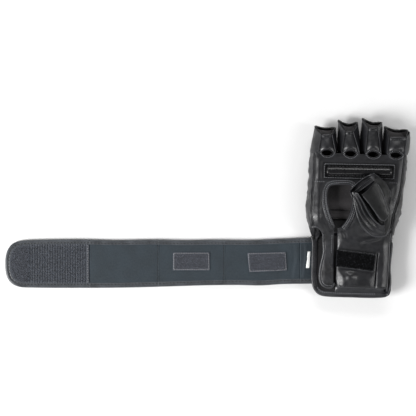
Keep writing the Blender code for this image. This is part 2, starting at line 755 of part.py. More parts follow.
def make_strap_lining(name, x_right, x_left, body):
    y0, y1 = STRAP_BOTTOM + STRAP_RIM + 0.6, STRAP_TOP - STRAP_RIM - 0.6
    flat_plate(name, x_left, x_right, y0, y1, STRAP_SKIN + GAP, LINING_TOP - STRAP_SKIN - GAP, "strap_lining", body)


def make_strap_end():
    """The last stretch, with its round tip, its lining and the large hook panel."""
    body = "strap_4"
    start = STRAP_HINGES[3] - GAP
    outline = [(start, STRAP_TOP), *tip_outline(0.0), (start, STRAP_BOTTOM)]
    sheet("strap_leather_4", outline, lambda x, y: 0.0, STRAP_SKIN, "strap_leather", body, spacing=40.0)
    level = STRAP_SKIN + GAP
    outline = [(start, STRAP_TOP - 1.0), (HOOK_EDGE + GAP, STRAP_TOP - 1.0),
               (HOOK_EDGE + GAP, STRAP_BOTTOM + 1.0), (start, STRAP_BOTTOM + 1.0)]
    sheet("strap_lining_4", outline, lambda x, y: level, STRAP_THICK - level, "strap_lining", body, spacing=60.0)
    outline = [(HOOK_EDGE, STRAP_TOP - 1.0), *tip_outline(1.0), (HOOK_EDGE, STRAP_BOTTOM + 1.0)]
    sheet("hook_panel", outline, lambda x, y: level, 3.2, "hook", body, spacing=60.0)


def make_strap():
    flat_plate("strap_anchor", STRAP_HINGES[0] + GAP, 150.0, STRAP_BOTTOM, STRAP_TOP - 0.6, 0.0, STRAP_THICK,
               "strap_leather")
    ends = list(zip(STRAP_HINGES, STRAP_HINGES[1:]))
    for number, (right, left) in enumerate(ends, start=1):
        body = "strap_%d" % number
        make_strap_leather("strap_leather_%d" % number, right - GAP, left + GAP, body,
                           low=LOOP_THICK + 0.3 if number == 2 else 0.0)
        make_strap_lining("strap_lining_%d" % number, right - GAP, left + GAP, body)
    make_strap_end()
    flat_plate("care_label", 112.9, 116.0, -68.8, -49.9, LINING_TOP + 0.3, 0.4, "label", "strap_1")
    flat_plate("hook_patch_1", 45.3, 90.0, -73.4, -51.6, LINING_TOP + 0.3, 1.2, "hook", "strap_2")
    flat_plate("hook_patch_2", -40.1, 2.0, -70.8, -51.6, LINING_TOP + 0.3, 1.2, "hook", "strap_3")
    flat_plate("closing_loop", 6.0, 88.0, STRAP_BOTTOM + 4.0, STRAP_TOP - 4.0, 0.0, LOOP_THICK, "loop",
               "strap_2")


def clear_scene():
    for item in list(bpy.data.objects):
        bpy.data.objects.remove(item)


def main():
    clear_scene()
    make_back()
    make_hand_pads()
    make_linings()
    make_side_panels()
    make_palm()
    make_hole_binding()
    make_grip()
    make_fingers()
    make_thumb()
    make_cuff()
    make_cuff_binding()
    make_tongue()
    make_tab()
    make_back_loop()
    make_strap()


main()
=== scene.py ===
"""Looks of the MMA glove: leather, linings, foam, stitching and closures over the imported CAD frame.

Shapes are drafted in millimetres on the same grid as the CAD, whose middle is CENTRE: +X runs from
the strap's tip to the thumb side, +Y towards the fingers and +Z up, out of the palm.
"""
import json
import math
from collections import namedtuple
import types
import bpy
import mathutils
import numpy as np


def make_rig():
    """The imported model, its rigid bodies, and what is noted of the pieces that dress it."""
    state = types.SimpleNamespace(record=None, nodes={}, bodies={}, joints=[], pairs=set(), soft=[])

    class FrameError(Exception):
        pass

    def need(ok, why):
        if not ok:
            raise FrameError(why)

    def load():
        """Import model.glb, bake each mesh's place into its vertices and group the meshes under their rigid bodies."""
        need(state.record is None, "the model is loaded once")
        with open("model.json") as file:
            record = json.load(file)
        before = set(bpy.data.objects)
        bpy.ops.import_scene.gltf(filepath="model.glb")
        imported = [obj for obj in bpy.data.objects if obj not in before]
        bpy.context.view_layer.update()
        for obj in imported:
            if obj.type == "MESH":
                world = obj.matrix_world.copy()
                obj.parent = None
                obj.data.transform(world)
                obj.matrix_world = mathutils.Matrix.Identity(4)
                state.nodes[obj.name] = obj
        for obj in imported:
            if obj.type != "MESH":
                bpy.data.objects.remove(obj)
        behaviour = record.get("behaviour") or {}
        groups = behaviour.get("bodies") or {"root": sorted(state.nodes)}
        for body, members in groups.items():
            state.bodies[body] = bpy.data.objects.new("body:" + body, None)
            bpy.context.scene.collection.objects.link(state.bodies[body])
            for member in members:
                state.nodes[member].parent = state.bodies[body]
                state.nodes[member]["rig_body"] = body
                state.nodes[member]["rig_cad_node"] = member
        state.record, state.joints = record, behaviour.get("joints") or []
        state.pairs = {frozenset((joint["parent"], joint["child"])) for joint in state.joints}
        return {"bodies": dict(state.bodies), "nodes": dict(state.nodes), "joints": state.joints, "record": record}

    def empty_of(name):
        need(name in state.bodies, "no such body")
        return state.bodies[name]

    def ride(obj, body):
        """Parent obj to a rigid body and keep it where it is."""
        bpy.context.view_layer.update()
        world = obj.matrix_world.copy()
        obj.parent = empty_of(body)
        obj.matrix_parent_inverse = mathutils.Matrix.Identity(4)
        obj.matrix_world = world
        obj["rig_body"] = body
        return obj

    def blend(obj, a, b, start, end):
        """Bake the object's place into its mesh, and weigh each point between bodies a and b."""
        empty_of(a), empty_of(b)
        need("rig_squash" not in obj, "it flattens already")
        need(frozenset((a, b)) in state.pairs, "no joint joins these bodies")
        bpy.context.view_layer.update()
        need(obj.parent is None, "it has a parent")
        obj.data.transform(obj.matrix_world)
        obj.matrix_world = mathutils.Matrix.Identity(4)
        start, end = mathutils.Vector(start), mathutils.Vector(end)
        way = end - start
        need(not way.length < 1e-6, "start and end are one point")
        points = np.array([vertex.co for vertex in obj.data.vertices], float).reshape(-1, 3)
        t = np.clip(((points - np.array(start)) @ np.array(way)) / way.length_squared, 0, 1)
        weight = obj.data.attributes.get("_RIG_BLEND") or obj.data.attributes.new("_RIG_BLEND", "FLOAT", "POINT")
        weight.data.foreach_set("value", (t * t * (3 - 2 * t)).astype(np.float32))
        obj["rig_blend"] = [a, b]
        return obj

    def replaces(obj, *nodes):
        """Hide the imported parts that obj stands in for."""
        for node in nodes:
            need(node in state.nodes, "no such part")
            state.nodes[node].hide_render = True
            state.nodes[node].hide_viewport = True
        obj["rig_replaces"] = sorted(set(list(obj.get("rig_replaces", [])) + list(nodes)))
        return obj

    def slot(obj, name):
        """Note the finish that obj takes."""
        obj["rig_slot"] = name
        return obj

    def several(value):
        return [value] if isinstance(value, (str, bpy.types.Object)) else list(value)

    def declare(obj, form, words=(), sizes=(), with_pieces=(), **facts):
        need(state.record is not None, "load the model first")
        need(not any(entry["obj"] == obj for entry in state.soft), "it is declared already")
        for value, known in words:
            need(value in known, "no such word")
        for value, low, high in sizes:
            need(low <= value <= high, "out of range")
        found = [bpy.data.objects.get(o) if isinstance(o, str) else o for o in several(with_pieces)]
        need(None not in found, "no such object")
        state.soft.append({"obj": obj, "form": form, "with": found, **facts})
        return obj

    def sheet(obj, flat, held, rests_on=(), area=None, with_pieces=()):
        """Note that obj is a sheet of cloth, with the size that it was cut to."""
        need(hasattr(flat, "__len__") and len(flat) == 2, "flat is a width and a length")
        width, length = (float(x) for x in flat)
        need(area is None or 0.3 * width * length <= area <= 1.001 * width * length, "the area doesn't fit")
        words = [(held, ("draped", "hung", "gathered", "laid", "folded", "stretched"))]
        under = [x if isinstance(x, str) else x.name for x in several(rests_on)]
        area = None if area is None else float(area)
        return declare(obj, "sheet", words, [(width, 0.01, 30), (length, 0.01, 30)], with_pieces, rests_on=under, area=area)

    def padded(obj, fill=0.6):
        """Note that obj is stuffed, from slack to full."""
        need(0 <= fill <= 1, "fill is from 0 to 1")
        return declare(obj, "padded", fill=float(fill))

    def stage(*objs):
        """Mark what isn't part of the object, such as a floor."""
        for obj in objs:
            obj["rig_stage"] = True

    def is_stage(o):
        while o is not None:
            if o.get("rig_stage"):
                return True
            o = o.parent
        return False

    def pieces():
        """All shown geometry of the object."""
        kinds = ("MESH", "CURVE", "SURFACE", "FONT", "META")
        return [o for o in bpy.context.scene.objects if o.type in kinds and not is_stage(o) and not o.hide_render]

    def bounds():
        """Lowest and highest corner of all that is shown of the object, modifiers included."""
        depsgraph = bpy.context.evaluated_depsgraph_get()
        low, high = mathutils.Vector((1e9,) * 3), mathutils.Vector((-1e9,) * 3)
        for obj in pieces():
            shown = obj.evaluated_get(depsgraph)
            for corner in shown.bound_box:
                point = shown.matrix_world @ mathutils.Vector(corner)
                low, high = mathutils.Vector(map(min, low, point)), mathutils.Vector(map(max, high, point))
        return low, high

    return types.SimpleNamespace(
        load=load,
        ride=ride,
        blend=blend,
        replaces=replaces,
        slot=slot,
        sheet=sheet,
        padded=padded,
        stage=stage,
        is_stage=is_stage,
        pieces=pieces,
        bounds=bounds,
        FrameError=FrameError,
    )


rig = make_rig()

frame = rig.load()
cad_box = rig.bounds()

import bmesh
import bpy
import numpy as np
from mathutils import Vector, noise
from mathutils.geometry import delaunay_2d_cdt

MM = 0.001
CAMERA_HEIGHT = 1.57  # metres: high things spread outwards by one part in 46 at the palm
VIEW_WIDTH = 0.4784   # metres of floor from side to side of the picture
CENTRE = (-2.65, -0.10)
LEATHER = 1.6        # thickness
PALM_Z = 33.6        # top of the palm leather on its plateau
WRIST_DROP = 10.5    # how much lower the palm leather lies at the wrist
HAND_FOOT = -31.0    # where the back of the hand ends and the cuff begins
CUFF_END = -98.5
LINING_TOP = 3.6     # the strap's lining
FINGER_RISE = 13.0   # from the bottom of a lobe to its sides
FINGER_HINGE_Z = 34.0
STRIP_Z = 33.6       # top of the palm-side finger strips at the knuckles
GRIP_TOP = 40.6

# Sides of the glove and of the palm leather, as (y, x) points
LEFT_SIDE = [(-100, 119), (-80, 119), (-50, 119.6), (-34, 118.6), (-18, 113.6), (-4, 111.3),
             (20, 113), (45, 114.8), (64, 115.2), (92, 119.5)]
RIGHT_SIDE = [(-100, 205), (-85, 207.6), (-68, 206.8), (-50, 208.6), (-30, 211.6), (-4, 219.2),
              (20, 222.3), (45, 225), (64, 227), (92, 230)]
PALM_RIGHT = [(-100, 202.4), (-50, 205.6), (-18, 207), (-4, 209.4), (18, 216), (45, 219.8), (64, 222)]
PALM_SEAM = 5.5      # from the left side to the palm leather's edge

# Left and right x of the lobe's base and mouth, y of its tip, x of the strip's base and mouth, y of the
# strip's end, x of the vent, how far the mouth dips, and how far each side bulges towards its neighbour
Finger = namedtuple("Finger", "base mouth tip strip_base strip_mouth strip_end vent_x dip bulge")
FINGERS = {
    "little": Finger((115.6, 146.9), (121.2, 145.6), (92.9, 91.2), (124.5, 143.8), (128.1, 139.4), 82.9,
                     134.3, 1.6, (0.0, 0.45)),
    "ring": Finger((147.7, 172.8), (148.0, 170.7), (99.6, 97.3), (150.6, 170.6), (155.1, 163.2), 86.5,
                   160.5, 3.6, (0.45, 1.25)),
    "middle": Finger((173.6, 197.4), (175.4, 198.6), (101.6, 97.2), (177.4, 194.8), (180.6, 191.0), 90.4,
                     186.0, 2.6, (1.25, 0.5)),
    "index": Finger((198.3, 226.0), (200.4, 227.5), (92.4, 88.9), (202.0, 221.6), (204.6, 224.0), 80.0,
                    211.6, 2.5, (0.5, 0.8)),
}
VENT_HALF = (6.1, 3.1)

# Ends of the crease on the right of the wrist tab, and the y of the tongue's root
CREASE_TOP = (192.4, -51.5)
CREASE_FOOT = (188.9, -97.5)
TONGUE_ROOT = -28.6


# ---- numbers and lines ----------------------------------------------------------------

def mix(a, b, f):
    return a + (b - a) * f


def ramp(value, start, end):
    """0 before start, 1 after end, and an S-curve between them."""
    f = np.clip((value - start) / (end - start), 0.0, 1.0)
    return f * f * (3.0 - 2.0 * f)


def bell(value, middle, width):
    """1 at the middle, falling away on both sides."""
    return np.exp(-((value - middle) / width) ** 2)


def arch(f):
    """0 at the shares 0 and 1, and 1 half-way."""
    return np.sin(math.pi * f)


def curve(points, per_span=6):
    """A smooth line through the points, as rows of numbers."""
    p = np.asarray(points, float)
    p = np.vstack([2 * p[0] - p[1], p, 2 * p[-1] - p[-2]])
    f = (np.arange(per_span) / per_span)[:, None]
    spans = []
    for a, b, c, d in zip(p, p[1:], p[2:], p[3:]):
        spans.append(0.5 * (2 * b + (c - a) * f + (2 * a - 5 * b + 4 * c - d) * f ** 2
                            + (3 * b - a - 3 * c + d) * f ** 3))
    return np.vstack([*spans, p[-2]])


def resampled(line, count):
    """The line as count points, evenly spaced along it."""
    line = np.asarray(line, float)
    run = np.concatenate([[0.0], np.cumsum(np.linalg.norm(np.diff(line, axis=0), axis=1))])
    stops = np.linspace(0.0, run[-1], count)
    return np.stack([np.interp(stops, run, column) for column in line.T], axis=1)


def softened(line, passes=3):
    """The line with its corners rounded off."""
    line = np.array(line, float)
    for _ in range(passes):
        line[1:-1] = (line[:-2] + 2 * line[1:-1] + line[2:]) / 4
    return line


def line_length(line):
    return float(np.linalg.norm(np.diff(np.asarray(line, float), axis=0), axis=1).sum())


def circle(steps):
    """Angles round a full turn."""
    return np.linspace(0, 2 * math.pi, steps, endpoint=False)


def pair(x, y):
    return np.stack([x, y], axis=-1)


def at_height(line, z):
    """A 2-D line lifted to one height, or to a height for each point."""
    return np.column_stack([line, np.broadcast_to(z, len(line))])


def unit(vectors):
    return vectors / np.linalg.norm(vectors, axis=1)[:, None]


def to_left(vectors):
    """2-D vectors turned a quarter to the left, at length 1."""
    return unit(pair(-vectors[:, 1], vectors[:, 0]))


def sideways(line, distance):
    """A 2-D line moved to its left."""
    line = np.asarray(line, float)
    return line + to_left(np.gradient(line, axis=0)) * distance


def follow(table):
    """The x of a side outline as a function of y."""
    smooth = curve(table)
    return lambda y: np.interp(y, smooth[:, 0], smooth[:, 1])


left_side, right_side, palm_right = follow(LEFT_SIDE), follow(RIGHT_SIDE), follow(PALM_RIGHT)


def ripple(points, size, seed=0.0):
    """Smooth noise from -1 to 1 at each point, with features about as big as size."""
    flat = np.asarray(points, float).reshape(-1, np.shape(points)[-1])
    shift = Vector((seed * 17.3, seed * 5.1, seed * 9.7))
    values = [noise.noise(Vector((*p, 0.0)[:3]) / size + shift) for p in flat.tolist()]
    return np.array(values).reshape(np.shape(points)[:-1])


def inside(points, loop):
    """Which points lie inside a closed outline."""
    x, y = points[:, :1], points[:, 1:2]
    x0, y0 = loop[:, 0], loop[:, 1]
    x1, y1 = np.roll(x0, -1), np.roll(y0, -1)
    rise = np.where(y1 == y0, 1e-9, y1 - y0)
    crossed = ((y0 > y) != (y1 > y)) & (x < x0 + (y - y0) / rise * (x1 - x0))
    return crossed.sum(axis=1) % 2 == 1


def distance_to(points, starts, ends):
    """Distance from each point to the nearest of the segments."""
    best = np.full(len(points), 1e9)
    for a, b in zip(starts, ends):
        ab = b - a
        f = np.clip(((points - a) @ ab) / max(ab @ ab, 1e-12), 0.0, 1.0)
        gap = points - a - f[:, None] * ab
        best = np.minimum(best, np.hypot(gap[:, 0], gap[:, 1]))
    return best


# ---- materials --------------------------------------------------------------------------

class Nodes:
    """A small helper that adds and links the nodes of one material."""

    def __init__(self, name):
        self.material = bpy.data.materials.new(name)
        self.material.use_nodes = True
        self.tree = self.material.node_tree
        self.shader = self.tree.nodes["Principled BSDF"]
        self.rest = self.add("ShaderNodeAttribute")
        self.rest.attribute_name = "rest"
        # Per-point paleness: rubbed cut edges, plus painted highlights on edges, crests and fibre tips, and painted
        # light on lining
        self.worn = self.add("ShaderNodeAttribute")
        self.worn.attribute_name = "worn"

    def add(self, kind, **values):
        node = self.tree.nodes.new(kind)
        for key, value in values.items():
            setattr(node, key, value)
        return node

    def link(self, source, target):
        self.tree.links.new(source, target)

    def noise(self, size_mm, detail=3.0, distortion=0.0):
        node = self.add("ShaderNodeTexNoise")
        node.inputs["Scale"].default_value = 1.0 / (size_mm * MM)
        node.inputs["Detail"].default_value = detail
        node.inputs["Distortion"].default_value = distortion
        self.link(self.rest.outputs["Vector"], node.inputs["Vector"])
        return node.outputs["Fac"]

    def cells(self, size_mm, feature="F1"):
        node = self.add("ShaderNodeTexVoronoi", feature=feature)
        node.inputs["Scale"].default_value = 1.0 / (size_mm * MM)
        self.link(self.rest.outputs["Vector"], node.inputs["Vector"])
        return node.outputs["Distance"]

    def bands(self, size_mm, direction):
        node = self.add("ShaderNodeTexWave", bands_direction=direction)
        node.inputs["Scale"].default_value = 0.314 / (size_mm * MM)
        node.inputs["Distortion"].default_value = 0.4
        node.inputs["Detail Scale"].default_value = 2.0
        self.link(self.rest.outputs["Vector"], node.inputs["Vector"])
        return node.outputs["Fac"]

    def span(self, value, low, high, start=0.3, end=0.7):
        node = self.add("ShaderNodeMapRange")
        for key, number in zip(("From Min", "From Max", "To Min", "To Max"), (start, end, low, high)):
            node.inputs[key].default_value = number
        self.link(value, node.inputs["Value"])
        return node.outputs["Result"]

    def math(self, operation, a, b):
        node = self.add("ShaderNodeMath", operation=operation)
        for socket, value in zip(node.inputs, (a, b)):
            if isinstance(value, (int, float)):
                socket.default_value = value
            else:
                self.link(value, socket)
        return node.outputs[0]

    def blend(self, factor, a, b):
        node = self.add("ShaderNodeMix", data_type="RGBA")
        self.link(factor, node.inputs[0])
        for socket, value in ((node.inputs[6], a), (node.inputs[7], b)):
            if isinstance(value, tuple):
                socket.default_value = (*value, 1.0)
            else:
                self.link(value, socket)
        return node.outputs[2]

    def bump(self, height, depth_mm, strength=1.0, under=None):
        node = self.add("ShaderNodeBump")
        node.inputs["Strength"].default_value = strength
        node.inputs["Distance"].default_value = depth_mm * MM
        self.link(height, node.inputs["Height"])
        if under is not None:
            self.link(under, node.inputs["Normal"])
        return node.outputs["Normal"]

    def finish(self, colour, roughness, normal):
        self.link(colour, self.shader.inputs["Base Color"])
        self.link(roughness, self.shader.inputs["Roughness"])
        self.link(normal, self.shader.inputs["Normal"])
        return self.material


def shade(colour, factor):
    return tuple(c * factor for c in colour)


def leather(name, colour, roughness, grain=0.010, creases=0.06, edge=3.0, patchy=0.35, shine=0.5):
    """Pebbled hide: fine cells, soft creases, uneven gloss, paler cut or rubbed edges, and painted highlights where
    worn marks them.
    """
    n = Nodes(name)
    broad = n.noise(14.0, 4.0)
    tone = n.blend(n.span(broad, 0.0, 1.0), shade(colour, 1 - patchy), shade(colour, 1 + patchy))
    # Paler where worn is set: rubbed edges and painted highlight
    colour_out = n.blend(n.worn.outputs["Fac"], tone, shade(colour, edge))
    gloss = n.span(n.noise(3.5, 5.0), roughness - 0.07, roughness + 0.10)
    soft = n.bump(n.noise(8.0, 1.0, 0.3), creases)
    fine = n.bump(n.cells(0.8), grain, under=soft)
    n.shader.inputs["Specular IOR Level"].default_value = shine
    pores = n.bump(n.noise(0.4, 1.0), grain * 0.3, under=fine)
    return n.finish(colour_out, gloss, pores)


def cloth(name, colour, roughness, thread=0.5, nap=0.05, sheen=0.2):
    """Fine woven lining with a little nap, painted paler where worn marks painted light."""
    n = Nodes(name)
    weave = n.math("MULTIPLY", n.bands(thread, "X"), n.bands(thread, "Y"))
    broad = n.noise(18.0, 4.0)
    tone = n.blend(n.span(broad, 0.0, 1.0), shade(colour, 0.72), shade(colour, 1.25))
    flecked = n.blend(n.span(n.noise(0.6, 3.0), 0.0, 0.6), tone, shade(colour, 1.7))
    # Painted light: paler where worn is set
    colour_out = n.blend(n.worn.outputs["Fac"], flecked, shade(colour, 2.2))
    n.shader.inputs["Sheen Weight"].default_value = sheen
    n.shader.inputs["Sheen Roughness"].default_value = 0.45
    normal = n.bump(weave, nap, 0.8, n.bump(n.noise(4.0, 3.0), 0.12))
    return n.finish(colour_out, n.span(n.noise(2.0), roughness - 0.08, roughness + 0.08), normal)


def fuzz(name, colour, roughness, size=0.7, sheen=0.4, bright=2.6, shine=0.5):
    """Raised fibres, for loops, hooks, foam and thread, with painted glints where worn is set."""
    n = Nodes(name)
    tone = n.blend(n.span(n.noise(size, 4.0), 0.0, 1.0), shade(colour, 0.55), shade(colour, 1.6))
    # Painted highlight: fibre tips marked in worn turn glint times paler
    colour_out = n.blend(n.worn.outputs["Fac"], tone, shade(colour, bright))
    n.shader.inputs["Sheen Weight"].default_value = sheen
    n.shader.inputs["Sheen Roughness"].default_value = 0.5
    n.shader.inputs["Specular IOR Level"].default_value = shine
    normal = n.bump(n.noise(size * 0.5, 3.0), 0.12, 0.8)
    return n.finish(colour_out, n.span(n.noise(size * 2), roughness - 0.1, roughness), normal)


# Each stuff: the record's material slot, its maker, colour, roughness and options
STUFFS = {
    "leather": ("leather", leather, (0.0115, 0.0118, 0.0138), 0.36, {}),
    "smooth_leather": ("leather", leather, (0.0105, 0.0108, 0.0112), 0.34,
                       {"grain": 0.004, "creases": 0.010, "edge": 2.0, "shine": 0.3, "patchy": 0.15}),
    # Near-black leather, also used as painted shade: the recess round the grip bar and the gap in the thumb's fold
    "black_leather": ("leather", leather, (0.0015, 0.0016, 0.0020), 0.34,
                      {"grain": 0.006, "creases": 0.03, "shine": 0.25}),
    # Paler leather for piping and fold edges: painted highlight along lines that catch the light
    "edge_leather": ("leather", leather, (0.0360, 0.0370, 0.0410), 0.36, {"creases": 0.03, "edge": 1.6}),
    # Paler leather for the cuff's rim: painted highlight on its lit slope
    "rim_leather": ("leather", leather, (0.0230, 0.0240, 0.0270), 0.34, {"creases": 0.05, "edge": 2.0}),
    "gloss_leather": ("leather", leather, (0.0050, 0.0050, 0.0058), 0.22,
                      {"grain": 0.005, "creases": 0.03, "edge": 4.0}),
    "suede": ("leather", leather, (0.0130, 0.0136, 0.0160), 0.50,
              {"grain": 0.03, "creases": 0.16, "patchy": 0.8}),
    "strap_leather": ("strap_leather", leather, (0.044, 0.049, 0.056), 0.40, {"edge": 1.6}),
    "lining": ("lining", cloth, (0.024, 0.022, 0.0235), 0.80, {"sheen": 0.3}),
    # Darkened lining for the cuff's inside: painted shade
    "dark_lining": ("lining", cloth, (0.005, 0.005, 0.006), 0.85, {"sheen": 0.05}),
    "strap_lining": ("strap_lining", cloth, (0.0125, 0.0205, 0.0275), 0.72, {"sheen": 0.1}),
    "foam": ("foam", fuzz, (0.012, 0.012, 0.013), 0.95, {"size": 1.6, "sheen": 0.1}),
    "hook": ("hook", fuzz, (0.028, 0.033, 0.043), 0.62, {"size": 1.3, "sheen": 0.1, "bright": 3.6}),
    "pale_hook": ("hook", fuzz, (0.042, 0.046, 0.058), 0.62, {"size": 1.3, "sheen": 0.1, "bright": 3.6}),
    # Loop fibres take strong painted glints on their tips
    "loop": ("loop", fuzz, (0.0020, 0.0021, 0.0025), 0.97,
             {"size": 0.8, "sheen": 0.02, "bright": 26.0, "shine": 0.12}),
    "label": ("label", cloth, (0.74, 0.75, 0.74), 0.75, {"sheen": 0.0}),
    "thread": (None, fuzz, (0.16, 0.165, 0.18), 0.50, {"size": 0.5}),
    "dark_thread": (None, fuzz, (0.008, 0.009, 0.011), 0.55, {"size": 0.5}),
}


def stuff(name):
    """The material of that name, made when it is first asked for."""
    title = name + "_look"
    if title not in bpy.data.materials:
        _, make, colour, roughness, options = STUFFS[name]
        make(title, colour, roughness, **options)
    return bpy.data.materials[title]


# ---- builders -----------------------------------------------------------------------------

def add_piece(name, points, faces, kind, worn=None, body="glove", bend=None, nodes=()):
    """One closed piece that rides on a body, or bends between two: bend is (a, b, start, end)."""
    points = np.asarray(points, float)
    local = (points - np.array([*CENTRE, 0.0])) * MM
    mesh = bpy.data.meshes.new(name)
    mesh.from_pydata(local.tolist(), [], faces)
    work = bmesh.new()
    work.from_mesh(mesh)
    bmesh.ops.recalc_face_normals(work, faces=work.faces)
    work.to_mesh(mesh)
    work.free()
    mesh.shade_smooth()
    mesh.set_sharp_from_angle(angle=math.radians(62))
    mesh.materials.append(stuff(kind))
    rest = mesh.attributes.new("rest", "FLOAT_VECTOR", "POINT")
    rest.data.foreach_set("vector", local.ravel())
    # Paleness per point: partly real edge wear, partly painted highlight and painted light
    paleness = mesh.attributes.new("worn", "FLOAT", "POINT")
    paleness.data.foreach_set("value", np.zeros(len(points)) if worn is None else np.asarray(worn, float))
    piece = bpy.data.objects.new(name, mesh)
    bpy.context.scene.collection.objects.link(piece)
    if bend:
        a, b, start, end = bend
        ends = [tuple((np.array(p) - [*CENTRE, 0.0]) * MM) for p in (start, end)]
        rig.blend(piece, a, b, *ends)
    else:
        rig.ride(piece, body)
    if nodes:
        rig.replaces(piece, *nodes)
    slot = STUFFS[kind][0]
    if slot:
        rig.slot(piece, slot)
    return piece


def grid_quads(rows, columns, first, around=False):
    i = np.arange(rows - 1)[:, None]
    j = np.arange(columns if around else columns - 1)[None, :]
    k = (j + 1) % columns
    here, ahead = i * columns, (i + 1) * columns
    quads = np.stack([here + j, here + k, ahead + k, ahead + j], axis=-1)
    return (quads.reshape(-1, 4) + first).tolist()


def tube_faces(rows, columns, first=0):
    """The wall and the two ends of a tube of points."""
    ends = [list(range(start, start + columns)) for start in (first, first + (rows - 1) * columns)]
    return grid_quads(rows, columns, first, around=True) + ends


def flat_grid(across, along, z):
    """A level rectangle of points; each side is (start, end, count)."""
    x, y = np.meshgrid(np.linspace(*across), np.linspace(*along))
    return np.dstack([x, y, np.full(x.shape, z)])


def slab(name, upper, lower, kind, lit=None, **how):
    """A sheet between two grids of points, with rounded edges; lit marks where painted light makes its upper side
    paler.
    """
    upper, lower = np.array(upper, float), np.array(lower, float)
    rows, columns = upper.shape[:2]
    loop = [(0, j) for j in range(columns)] + [(i, columns - 1) for i in range(1, rows)]
    loop += [(rows - 1, j) for j in range(columns - 2, -1, -1)] + [(i, 0) for i in range(rows - 2, 0, -1)]
    at = tuple(np.array(loop).T)
    within = (np.clip(at[0], 1, rows - 2), np.clip(at[1], 1, columns - 2))
    middle = (upper[at] + lower[at]) / 2
    out = middle - (upper[within] + lower[within]) / 2
    reach = np.linalg.norm(out, axis=1)[:, None]
    out = out / np.maximum(reach, 1e-9)
    half = np.linalg.norm(upper[at] - lower[at], axis=1)[:, None] / 2
    pull = np.minimum(half, reach * 0.45)
    top, bottom = upper[at] - out * pull, lower[at] - out * pull
    upper[at], lower[at] = top, bottom
    centre = middle - out * pull
    rings = [centre + (top - centre) * math.cos(a) + out * pull * math.sin(a)
             for a in (math.pi / 4, math.pi / 2, math.pi * 3 / 4)]
    count = rows * columns
    points = np.vstack([upper.reshape(-1, 3), lower.reshape(-1, 3), *rings])
    faces = grid_quads(rows, columns, 0) + [list(reversed(q)) for q in grid_quads(rows, columns, count)]
    size = len(loop)
    flat = at[0] * columns + at[1]
    bands = [flat, *[2 * count + size * k + np.arange(size) for k in range(3)], flat + count]
    for near, far in zip(bands, bands[1:]):
        faces += np.stack([np.roll(near, -1), near, far, np.roll(far, -1)], axis=1).tolist()
    # Rims paler than faces: partly edge wear, partly painted highlight
    worn = np.zeros(len(points))
    worn[2 * count:] = np.repeat([0.5, 1.0, 0.5], size)
    worn[flat] = 0.25
    if lit is not None:
        worn[:count] = np.asarray(lit, float).ravel()
    return add_piece(name, points, faces, kind, worn, **how)


def skin(name, grid, depth, kind, **how):
    """A slab whose lower side lies straight under a grid of points."""
    return slab(name, grid, grid - [0, 0, depth], kind, **how)


def thickened(grid, depth):
    """The grid and its copy a depth behind it, along its own normals."""
    grid = np.asarray(grid, float)
    across = np.cross(np.gradient(grid, axis=0), np.gradient(grid, axis=1))
    across /= np.maximum(np.linalg.norm(across, axis=2), 1e-9)[..., None]
    return grid, grid - across * depth


def sheet(name, outline, top, thickness, kind, holes=(), spacing=2.5, edge=0.8, joined=None, **how):
    """A sheet cut to an outline, its top face at top(x, y), its edges rounded except where joined(x, y)."""
    loops = []
    for line in (outline, *holes):
        line = np.asarray(line, float)
        closed = np.vstack([line, line[:1]])
        loops.append(resampled(closed, max(8, int(line_length(closed) / (spacing * 0.7))))[:-1])
    starts = np.vstack(loops)
    ends = np.vstack([np.roll(loop, -1, axis=0) for loop in loops])
    middles = (starts + ends) / 2
    cut = np.ones(len(starts), bool) if joined is None else ~joined(middles[:, 0], middles[:, 1])
    low, high = loops[0].min(axis=0), loops[0].max(axis=0)
    xs, ys = np.arange(low[0], high[0], spacing), np.arange(low[1], high[1], spacing * 0.87)
    x, y = np.meshgrid(xs, ys)
    x = x + (np.arange(len(ys)) % 2)[:, None] * spacing / 2
    field = pair(x.ravel(), y.ravel())
    field = [field[distance_to(field, starts, ends) > edge + spacing * 0.35]]
    normals = to_left(ends - starts)
    for share in (0.15, 0.45, 1.0):
        for side in (-1, 1):
            ring = middles + normals * side * edge * share
            field.append(ring[distance_to(ring, starts, ends) > edge * share * 0.93])
    field = np.vstack(field)
    within = inside(field, loops[0])
    for loop in loops[1:]:
        within &= ~inside(field, loop)
    border, total = [], 0
    for loop in loops:
        border += [(total + i, total + (i + 1) % len(loop)) for i in range(len(loop))]
        total += len(loop)
    everything = np.vstack([starts, field[within]])
    flat, _, triangles, *_ = delaunay_2d_cdt([Vector(p) for p in everything.tolist()], border, [], 0, 1e-4)
    flat = np.array([tuple(p) for p in flat])
    triangles = np.array(triangles)
    centres = flat[triangles].mean(axis=1)
    keep = inside(centres, loops[0])
    for loop in loops[1:]:
        keep &= ~inside(centres, loop)
    triangles = triangles[keep]
    gap = distance_to(flat, starts[cut], ends[cut]) if cut.any() else np.full(len(flat), 1e9)
    full = np.sqrt(1 - (1 - np.clip(gap / edge, 0.0, 1.0)) ** 2) * 0.96 + 0.04
    z = top(flat[:, 0], flat[:, 1]) - thickness / 2
    upper = np.column_stack([flat, z + thickness / 2 * full])
    lower = np.column_stack([flat, z - thickness / 2 * full])
    count = len(flat)
    faces = triangles.tolist() + (triangles[:, ::-1] + count).tolist()
    seen = {(a, b) for t in triangles.tolist() for a, b in zip(t, t[1:] + t[:1])}
    faces += [[b, a, count + a, count + b] for a, b in seen if (b, a) not in seen]
    # Cut edges paler: partly edge wear, partly painted highlight
    worn = np.tile(1.0 - np.clip(gap / (edge * 0.5), 0.0, 1.0), 2)
    return add_piece(name, np.vstack([upper, lower]), faces, kind, worn, **how)


